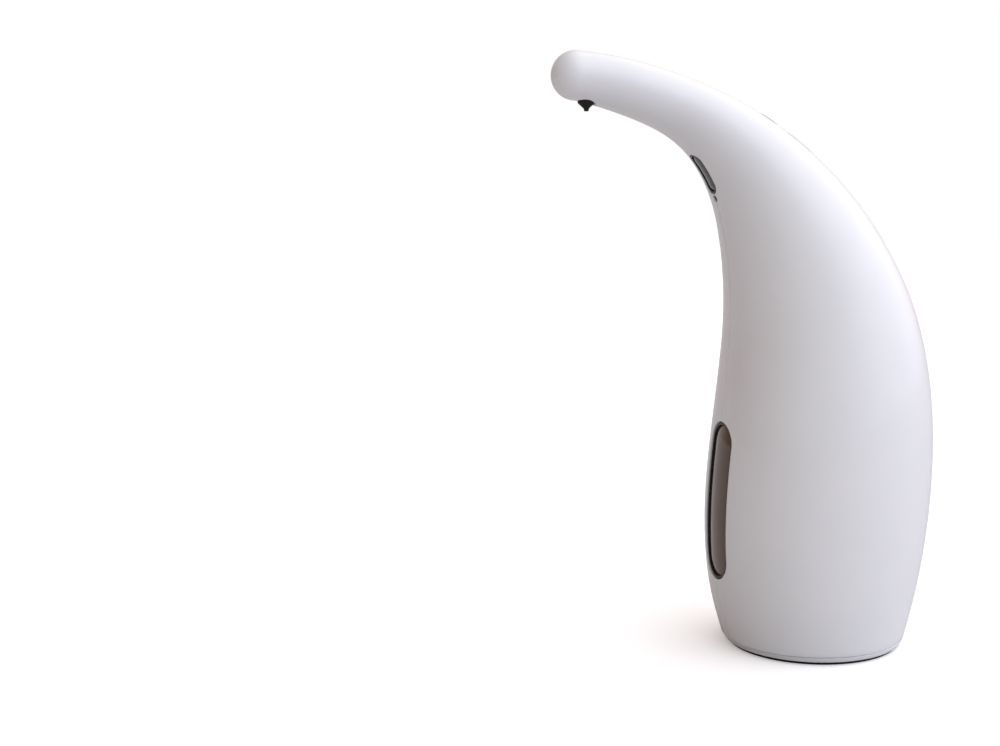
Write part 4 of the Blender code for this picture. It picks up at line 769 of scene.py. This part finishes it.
# Refill plug and power button; the stems are (width, height) in millimetres
capForm = {
    "plugRadius": 7.0 * mm,
    "plugProud": 0.35 * mm,
    "plugRound": 0.22 * mm,
    "plugSkirt": -1.55 * mm,      # underside of the plug's head
    "plugGroove": 0.15 * mm,
    "plugStem": [(0.0, -6.4), (8.0, -6.4), (8.8, -5.8), (8.8, -4.6), (9.3, -4.3), (8.8, -4.0)],
    "buttonRadius": 4.3 * mm,
    "buttonProud": 0.3 * mm,
    "buttonRound": 0.25 * mm,
    "buttonFlange": -3.6 * mm,    # top of the flange that holds the button in
    "buttonStem": [(0.0, -6.2), (3.0, -6.2), (3.0, -4.5), (10.6, -4.5), (10.6, -3.6)],
    # shares of the width, and how deep the finger's hollow is there
    "buttonHollow": [(1.0, 0.0), (0.7, 0.05), (0.4, 0.16), (0.0, 0.2)],
}


def makeCaps():
    form = capForm
    wide, proud, skirt = 2.0 * form["plugRadius"], form["plugProud"], form["plugSkirt"]
    sunk = proud - form["plugGroove"]
    rows = inMillimetres(form["plugStem"])
    rows += [(rows[-1][0], skirt), (wide, skirt), (wide, proud), (0.88 * wide, proud),
             (0.86 * wide, sunk), (0.82 * wide, sunk), (0.80 * wide, proud), (0.5 * wide, proud),
             (0.0, proud)]
    plug = soften(loopForm(wide, rows, arcSteps=96), form["plugRound"], angle=60.0)
    plug = makeObject("refillPlug", layOnBody(plug, plugFrame))
    dress(plug, "plug", "silicone_clear", "refill_plug")

    wide, proud = 2.0 * form["buttonRadius"], form["buttonProud"]
    rows = inMillimetres(form["buttonStem"]) + [(wide, form["buttonFlange"])]
    rows += [(share * wide, proud - deep * mm) for share, deep in form["buttonHollow"]]
    button = soften(loopForm(wide, rows, arcSteps=80), form["buttonRound"], angle=60.0)
    button = makeObject("powerButton", layOnBody(button, buttonFrame))
    dress(button, "button", "button_grey", "power_button")


makeCaps()


# Nozzle
nozzleForm = {
    "radius": 2.7 * mm,
    "tip": 0.7 * mm,
    "bore": 0.35 * mm,
    "seat": 2.0 * mm,
    "round": 0.07 * mm,
    "lip": (0.15 * mm, 0.2 * mm),    # flare of the bore at the tip, and its height
    "beak": [(0.82, 0.7), (1.215, 1.15), (2.4, 2.25), (2.7, 2.6)],    # (radius, height over the tip)
    "flareShare": 0.6,               # how much of the straight part the wide inside takes
}


def makeNozzle():
    form = nozzleForm
    lip, lipHigh = form["lip"]
    beak = [(radius, nozzleTip + height) for radius, height in inMillimetres(form["beak"])]
    straight = nozzleTop - beak[-1][1]
    rows = [(form["bore"], nozzleTip + lipHigh), (form["bore"] + lip, nozzleTip),
            (form["tip"], nozzleTip), *beak, (form["radius"], nozzleTop), (form["seat"], nozzleTop),
            (form["bore"], nozzleTop - form["flareShare"] * straight)]
    nozzle = soften(turnedForm(rows, 64), form["round"], 2)
    movedTo(nozzle, at(0.0, shellForm["nozzleForward"], 0.0))
    dress(makeObject("nozzleTip", nozzle), "housing", "dark_rubber", "nozzle")


makeNozzle()


# Base tray and foot
baseForm = {
    "rimTop": 2.85 * mm,
    "floorTop": 5.2 * mm,
    "floorLow": 2.2 * mm,
    "rimInset": 0.25 * mm,
    "rimRound": 0.9 * mm,
    "rimEdge": 0.3 * mm,
    "foot": 1.0 * mm,
    "footDepth": 0.8 * mm,
    "footWidth": 2.2 * mm,
    "footSetback": 0.5 * mm,
    "footPlay": 0.1 * mm,
    "footRound": 0.25 * mm,
    "spigotTop": 8.4 * mm,
    "spigotWall": 1.6 * mm,
    "spigotPlay": 0.6 * mm,
    "doorRadius": 15.8 * mm,
    "doorTop": 3.3 * mm,
    "doorPlay": 0.3 * mm,
    "tubeBore": 13.407 * mm,
    "tubeWall": 1.5 * mm,
    "tubeTop": 55.9 * mm,
    "tubeBoreTop": 54.2 * mm,
    "screwHead": 2.55 * mm,
    "screwSeat": 2.8 * mm,
    "screwBoreTop": 12.0 * mm,
    "leadHole": 0.95 * mm,
    "leadSpot": 5.45 * mm,
    "leadHeights": (50.0 * mm, 60.0 * mm),
    "edge": 0.15 * mm,
}


def makeBase():
    form = baseForm
    share = bodyForm["widthShare"]
    lowHalf = halfDepth(0.0)
    rimHalf = halfDepth(form["rimTop"]) - form["rimInset"]
    inner = halfDepth(bodyForm["rimHeight"]) - bodyForm["wall"] - form["spigotPlay"]
    foot, top, turn, edge = form["foot"], form["rimTop"], form["rimRound"], form["rimEdge"]
    spigotInner, spigotTop, floorTop = inner - form["spigotWall"], form["spigotTop"], form["floorTop"]
    rows = [(0.0, foot), (lowHalf - turn, foot)]
    rows += arcRows(turn, turn, 6, (lowHalf - turn, foot + turn), -90.0, 0.0)
    rows += [(rimHalf, top - edge), (rimHalf - edge, top), (inner, top), (inner, spigotTop),
             (spigotInner, spigotTop), (spigotInner, floorTop), (0.0, floorTop)]
    turned = turnedForm(rows, 144, share)
    bmesh.ops.dissolve_limit(turned, angle_limit=math.radians(0.5), verts=turned.verts,
                             edges=turned.edges)
    tray = makeObject("baseTray", movedTo(turned, at(0.0, 0.0, 0.0)))
    tube = Matrix.Translation(tubeAxis)
    carve(tray, "UNION", rod(form["tubeBore"] + form["tubeWall"], form["floorLow"], form["tubeTop"],
                             tube, 96))
    footOuter = lowHalf - turn - form["footSetback"]
    footInner, footTop = footOuter - form["footWidth"], foot + form["footDepth"]

    def footForm(play):
        low, high = footInner - play, footOuter + play
        rows = [(low, 0.0), (high, 0.0), (high, footTop), (low, footTop)]
        return turnedForm(rows, 144, share)

    doorPlay = form["doorPlay"]
    tools = [rod(form["tubeBore"], 0.0, form["tubeBoreTop"], tube, 96),
             rod(form["doorRadius"] + doorPlay, 0.0, form["doorTop"] + doorPlay, tube, 96),
             makeObject("tool", movedTo(footForm(form["footPlay"]), at(0.0, 0.0, 0.0)))]
    for x, forward in shellForm["bosses"]:
        for side in (1.0, -1.0):
            place = Matrix.Translation(at(side * x, forward, 0.0))
            tools.append(rod(shellForm["bossBore"], 0.0, form["screwBoreTop"], place, 32))
            tools.append(rod(form["screwHead"], 0.0, form["screwSeat"], place, 48))
    for side in (1.0, -1.0):
        spot = Vector((side * form["leadSpot"], form["leadSpot"], 0.0))
        place = Matrix.Translation(tubeAxis + spot)
        tools.append(rod(form["leadHole"], *form["leadHeights"], place, 24))
    carve(tray, "DIFFERENCE", *tools)
    rounded(cleaned(tray), form["edge"], 2)
    dress(tray, "housing", "rim_white", "base_tray")

    ring = movedTo(soften(footForm(0.0), form["footRound"]), at(0.0, 0.0, 0.0))
    dress(makeObject("footRing", ring), "housing", "dark_rubber", "foot_ring")


makeBase()


# Battery door and its seal
doorForm = {
    "low": 1.3 * mm,
    "spigot": 12.957 * mm,
    "spigotTop": 6.7 * mm,
    "grooveLow": 4.2 * mm,
    "grooveHigh": 5.5 * mm,
    "grooveRadius": 12.057 * mm,
    "ring": [(0.55, 0.0), (0.57, 0.15), (0.60, 0.15), (0.62, 0.0)],    # (share of radius, mm deep)
    "rim": [(0.35, 0.0), (0.1, 0.1), (0.0, 0.35)],    # mm in from the radius, and mm up
    "slot": (15.0 * mm, 1.9 * mm),
    "slotDepth": 1.1 * mm,
    "dimples": 3,
    "dimpleRadius": 1.0 * mm,
    "dimpleDrop": 0.5 * mm,       # a dimple's middle below the door's face
    "edge": 0.12 * mm,
    "sealOut": 0.65 * mm,         # the seal's middle from the groove's floor
    "sealThick": 0.5 * mm,
}


def makeDoor():
    form = doorForm
    low, radius, top = form["low"], baseForm["doorRadius"], baseForm["doorTop"]
    spigot, groove = form["spigot"], form["grooveRadius"]
    rows = [(0.0, low)]
    rows += [(share * radius, low + deep * mm) for share, deep in form["ring"]]
    rows += [(radius - inside * mm, low + up * mm) for inside, up in form["rim"]]
    rows += [(radius, top), (spigot, top), (spigot, form["grooveLow"]),
             (groove, form["grooveLow"]), (groove, form["grooveHigh"]),
             (spigot, form["grooveHigh"]), (spigot, form["spigotTop"]), (0.0, form["spigotTop"])]
    door = makeObject("batteryDoor", turnedForm(rows, 128))
    quarter = Matrix.Rotation(0.5 * math.pi, 4, "Z")
    tools = [prismTool(quarter, *form["slot"], 0.0, low + form["slotDepth"])]
    for k in range(form["dimples"]):
        turn = math.pi * (0.5 + 2.0 * k / form["dimples"])
        out = 0.8 * radius
        place = Matrix.Translation((out * math.cos(turn), out * math.sin(turn),
                                    low - form["dimpleDrop"]))
        ball = bmesh.new()
        bmesh.ops.create_uvsphere(ball, u_segments=24, v_segments=16, radius=form["dimpleRadius"],
                                  matrix=place)
        tools.append(makeObject("tool", inOrder(ball)))
    carve(door, "DIFFERENCE", *tools)
    rounded(cleaned(door), form["edge"], 2)
    door.data.transform(Matrix.Translation(tubeAxis))
    dress(door, "door", "door_white", "battery_door")

    middle = 0.5 * (form["grooveLow"] + form["grooveHigh"])
    out, thick = groove + form["sealOut"], form["sealThick"]
    turns = [math.pi * k / 8.0 for k in range(16)]
    rows = [(out + thick * math.cos(turn), middle + thick * math.sin(turn)) for turn in turns]
    seal = movedTo(turnedForm(rows, 96), tubeAxis)
    dress(makeObject("doorSeal", seal), "door", "dark_rubber", "door_seal")


makeDoor()


# Screws
screwForm = {
    "base": {"radius": 1.1 * mm, "head": 2.3 * mm, "headHeight": 1.2 * mm, "length": 7.0 * mm},
    "pump": {"radius": 0.9 * mm, "head": 1.6 * mm, "headHeight": 1.3 * mm, "length": 17.0 * mm},
    "core": 0.78,                                         # of the radius
    "pitch": 0.8 * mm,
    "thread": [(0.78, 0.1), (1.0, 0.42), (0.78, 0.75)],   # shares of the radius and the pitch
    # shares of the head's radius and height
    "crown": [(1.0, 0.0), (1.0, 0.35), (0.93, 0.65), (0.74, 0.9), (0.5, 1.0), (0.0, 1.0)],
    "sunk": 0.6 * mm,                                     # head under the foot's plane
    "edge": 0.04 * mm,
}


def makeScrew(name, form, place, node):
    radius, head, height, length = form["radius"], form["head"], form["headHeight"], form["length"]
    core, pitch = screwForm["core"] * radius, screwForm["pitch"]
    rows = [(0.0, -length), (0.5 * radius, -length), (core, -length + radius)]
    for k in range(int((length - 1.6 * radius) / pitch)):
        low = -length + radius + k * pitch
        rows += [(share * radius, low + up * pitch) for share, up in screwForm["thread"]]
    rows += [(core, 0.0), *((share * head, up * height) for share, up in screwForm["crown"])]
    screw = makeObject(name, turnedForm(rows, 48))
    arm, slot, low, high = 0.6 * head, 0.13 * head, 0.45 * height, 2.0 * height
    carve(screw, "DIFFERENCE", block((-arm, -slot, low), (arm, slot, high)),
          block((-slot, -arm, low), (slot, arm, high)))
    rounded(screw, screwForm["edge"], 2, 60.0)
    screw.data.transform(place)
    dress(screw, "housing", "plated_steel", node)


def makeScrews():
    base, pump = screwForm["base"], screwForm["pump"]
    seat = baseForm["foot"] + base["headHeight"] + screwForm["sunk"]
    spots = [(side * x, forward) for x, forward in shellForm["bosses"] for side in (1.0, -1.0)]
    for k, (x, forward) in enumerate(spots, 1):
        place = Matrix.Translation(at(x, forward, seat)) @ Matrix.Rotation(math.pi, 4, "X")
        makeScrew(f"baseScrew{k}", base, place, f"base_screw_{k}")
    for k in (1, 2):
        low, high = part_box(f"pump_screw_{k}")
        middle = 0.5 * (low + high)
        place = Matrix.Translation((middle.x, middle.y, low.z + pump["length"]))
        makeScrew(f"pumpScrew{k}", pump, place, f"pump_screw_{k}")


makeScrews()


# Battery cells
cellForm = {
    "radius": 5.25 * mm,
    "length": 44.5 * mm,
    "nubHeight": 0.9 * mm,
    "spacing": 10.9 * mm,
    "low": 8.7 * mm,
    "band": 0.74,              # share of the height where the second colour starts
    "sleeve": 4.95 * mm,       # bare metal inside this radius
    # (radius, height) at the flat end, then (radius, depth) from the shoulder and from the top
    "flatEnd": [(0.0, 0.0), (3.6, 0.0), (3.8, 0.25), (4.8, 0.25), (5.0, 0.45), (5.25, 0.6)],
    "shoulder": [(5.25, 0.5), (5.0, 0.2), (4.8, 0.0), (2.6, 0.0), (2.4, 0.15), (1.9, 0.15)],
    "nub": [(1.9, 0.2), (1.65, 0.0), (0.0, 0.0)],
}


def makeCells():
    form = cellForm
    length, top = form["length"], form["length"] - form["nubHeight"]
    bandLow, half = form["band"] * top, 0.5 * form["spacing"]
    rows = inMillimetres(form["flatEnd"]) + [(form["radius"], bandLow)]
    rows += [(out, top - deep) for out, deep in inMillimetres(form["shoulder"])]
    rows += [(out, length - deep) for out, deep in inMillimetres(form["nub"])]
    upsideDown = Matrix.Translation((0.0, 0.0, length)) @ Matrix.Rotation(math.pi, 4, "X")
    spots = [(-1.0, -1.0, False), (-1.0, 1.0, True), (1.0, 1.0, False), (1.0, -1.0, True)]
    for number, (side, end, nubUp) in enumerate(spots, 1):
        cell = turnedForm(rows, 64)
        for face in cell.faces:
            middle = face.calc_center_median()
            sleeve = Vector(middle.xy).length > form["sleeve"]
            face.material_index = 2 if not sleeve else 1 if middle.z > bandLow else 0
        if not nubUp:
            cell.transform(upsideDown)
        movedTo(cell, tubeAxis + Vector((side * half, -end * half, form["low"])))
        dress(makeObject(f"batteryCell{number}", cell), "housing", "cell_jacket",
              f"battery_cell_{number}", extra=(finishes["cell_band"], finishes["plated_steel"]))


makeCells()


# CAD nodes that stay as they are get their slot's finish
def dressNodes():
    slots = {row["node"]: row["material_slot"] for row in frame["record"]["subparts"]}
    for name, node in nodes.items():
        if node.hide_render:
            continue
        node.data.materials.clear()
        node.data.materials.append(finishes[slots[name]].material)


dressNodes()

# Floor, light and camera
stageForm = {
    "floor": 6.0,
    "floorColour": (0.93, 0.93, 0.93),
    "floorBounce": (0.55, 0.545, 0.55),      # what the floor throws back at the object
    "floorGlow": 0.3,
    "glow": (0.28, 0.19, 0.15),
    # direction that each soft light comes from, the cosines where it starts and is full, and its colour
    "softLights": [
        ((1.0, 0.0, 0.0), 0.0, 1.0, (0.43, 0.54, 0.58)),
        ((0.6, 0.8, 0.0), 0.3, 1.0, (0.05, 0.08, 0.32)),
        ((-0.6, 0.8, 0.0), 0.3, 1.0, (0.30, 0.30, 0.30)),
        ((-1.0, 0.0, 0.0), 0.5, 1.0, (0.30, 0.31, 0.35)),
        ((0.2, 0.6, 0.77), 0.3, 1.0, (1.48, 1.52, 1.58)),
    ],
    "cameraPlace": (0.37493, -0.18137, 0.14391),
    "cameraBack": (0.96078, -0.25045, 0.11909),
    "cameraRoll": -0.988,
    "lens": 44.636,
    "film": 36.0,
    "clip": (0.01, 20.0),
}


class Room(Finish):
    # the light from all round, by direction, and plain white where the camera looks past the object
    def __init__(self):
        world = bpy.data.worlds.new("room")
        bpy.context.scene.world = world
        self.start(world, "Background", {"Strength": 1.0})
        self.place = self.node("ShaderNodeTexCoord", {}, {}, "Generated")

    def towards(self, direction, low, high):
        along = self.node("ShaderNodeVectorMath", {"operation": "DOT_PRODUCT"},
                          {0: self.place, 1: direction}, "Value")
        return self.node("ShaderNodeMapRange", {"interpolation_type": "SMOOTHSTEP"},
                         {"Value": along, "From Min": low, "From Max": high})


def makeStage():
    form = stageForm
    bm = bmesh.new()
    bmesh.ops.create_grid(bm, x_segments=1, y_segments=1, size=form["floor"])
    floor = makeObject("floor", bm)
    look = Finish("floorPaper", {"Roughness": 0.9, "Specular IOR Level": 0.1,
                                 "Emission Strength": form["floorGlow"]})
    seen = look.node("ShaderNodeLightPath", {}, {}, "Is Camera Ray")
    look.tint(seen, form["floorBounce"], form["floorColour"])
    look.feed("Emission Color", look.mix(seen, (0.0, 0.0, 0.0), (1.0, 1.0, 1.0)))
    floor.data.materials.append(look.material)

    room = Room()
    light = form["glow"]
    for direction, low, high, colour in form["softLights"]:
        light = room.mix(room.towards(direction, low, high), light, colour, "ADD")
    seen = room.node("ShaderNodeLightPath", {}, {}, "Is Camera Ray")
    room.feed("Color", room.mix(seen, light, (1.0, 1.0, 1.0)))

    data = bpy.data.cameras.new("camera")
    data.lens, data.sensor_width = form["lens"], form["film"]
    data.clip_start, data.clip_end = form["clip"]
    camera = bpy.data.objects.new("camera", data)
    bpy.context.scene.collection.objects.link(camera)
    camera.location = form["cameraPlace"]
    camera.rotation_mode = "QUATERNION"
    roll = Quaternion((0.0, 0.0, 1.0), math.radians(form["cameraRoll"]))
    camera.rotation_quaternion = (-Vector(form["cameraBack"])).to_track_quat("-Z", "Y") @ roll
    bpy.context.scene.camera = camera
    bpy.context.scene.view_settings.view_transform = "Standard"
    print("stage, light and camera made")


makeStage()
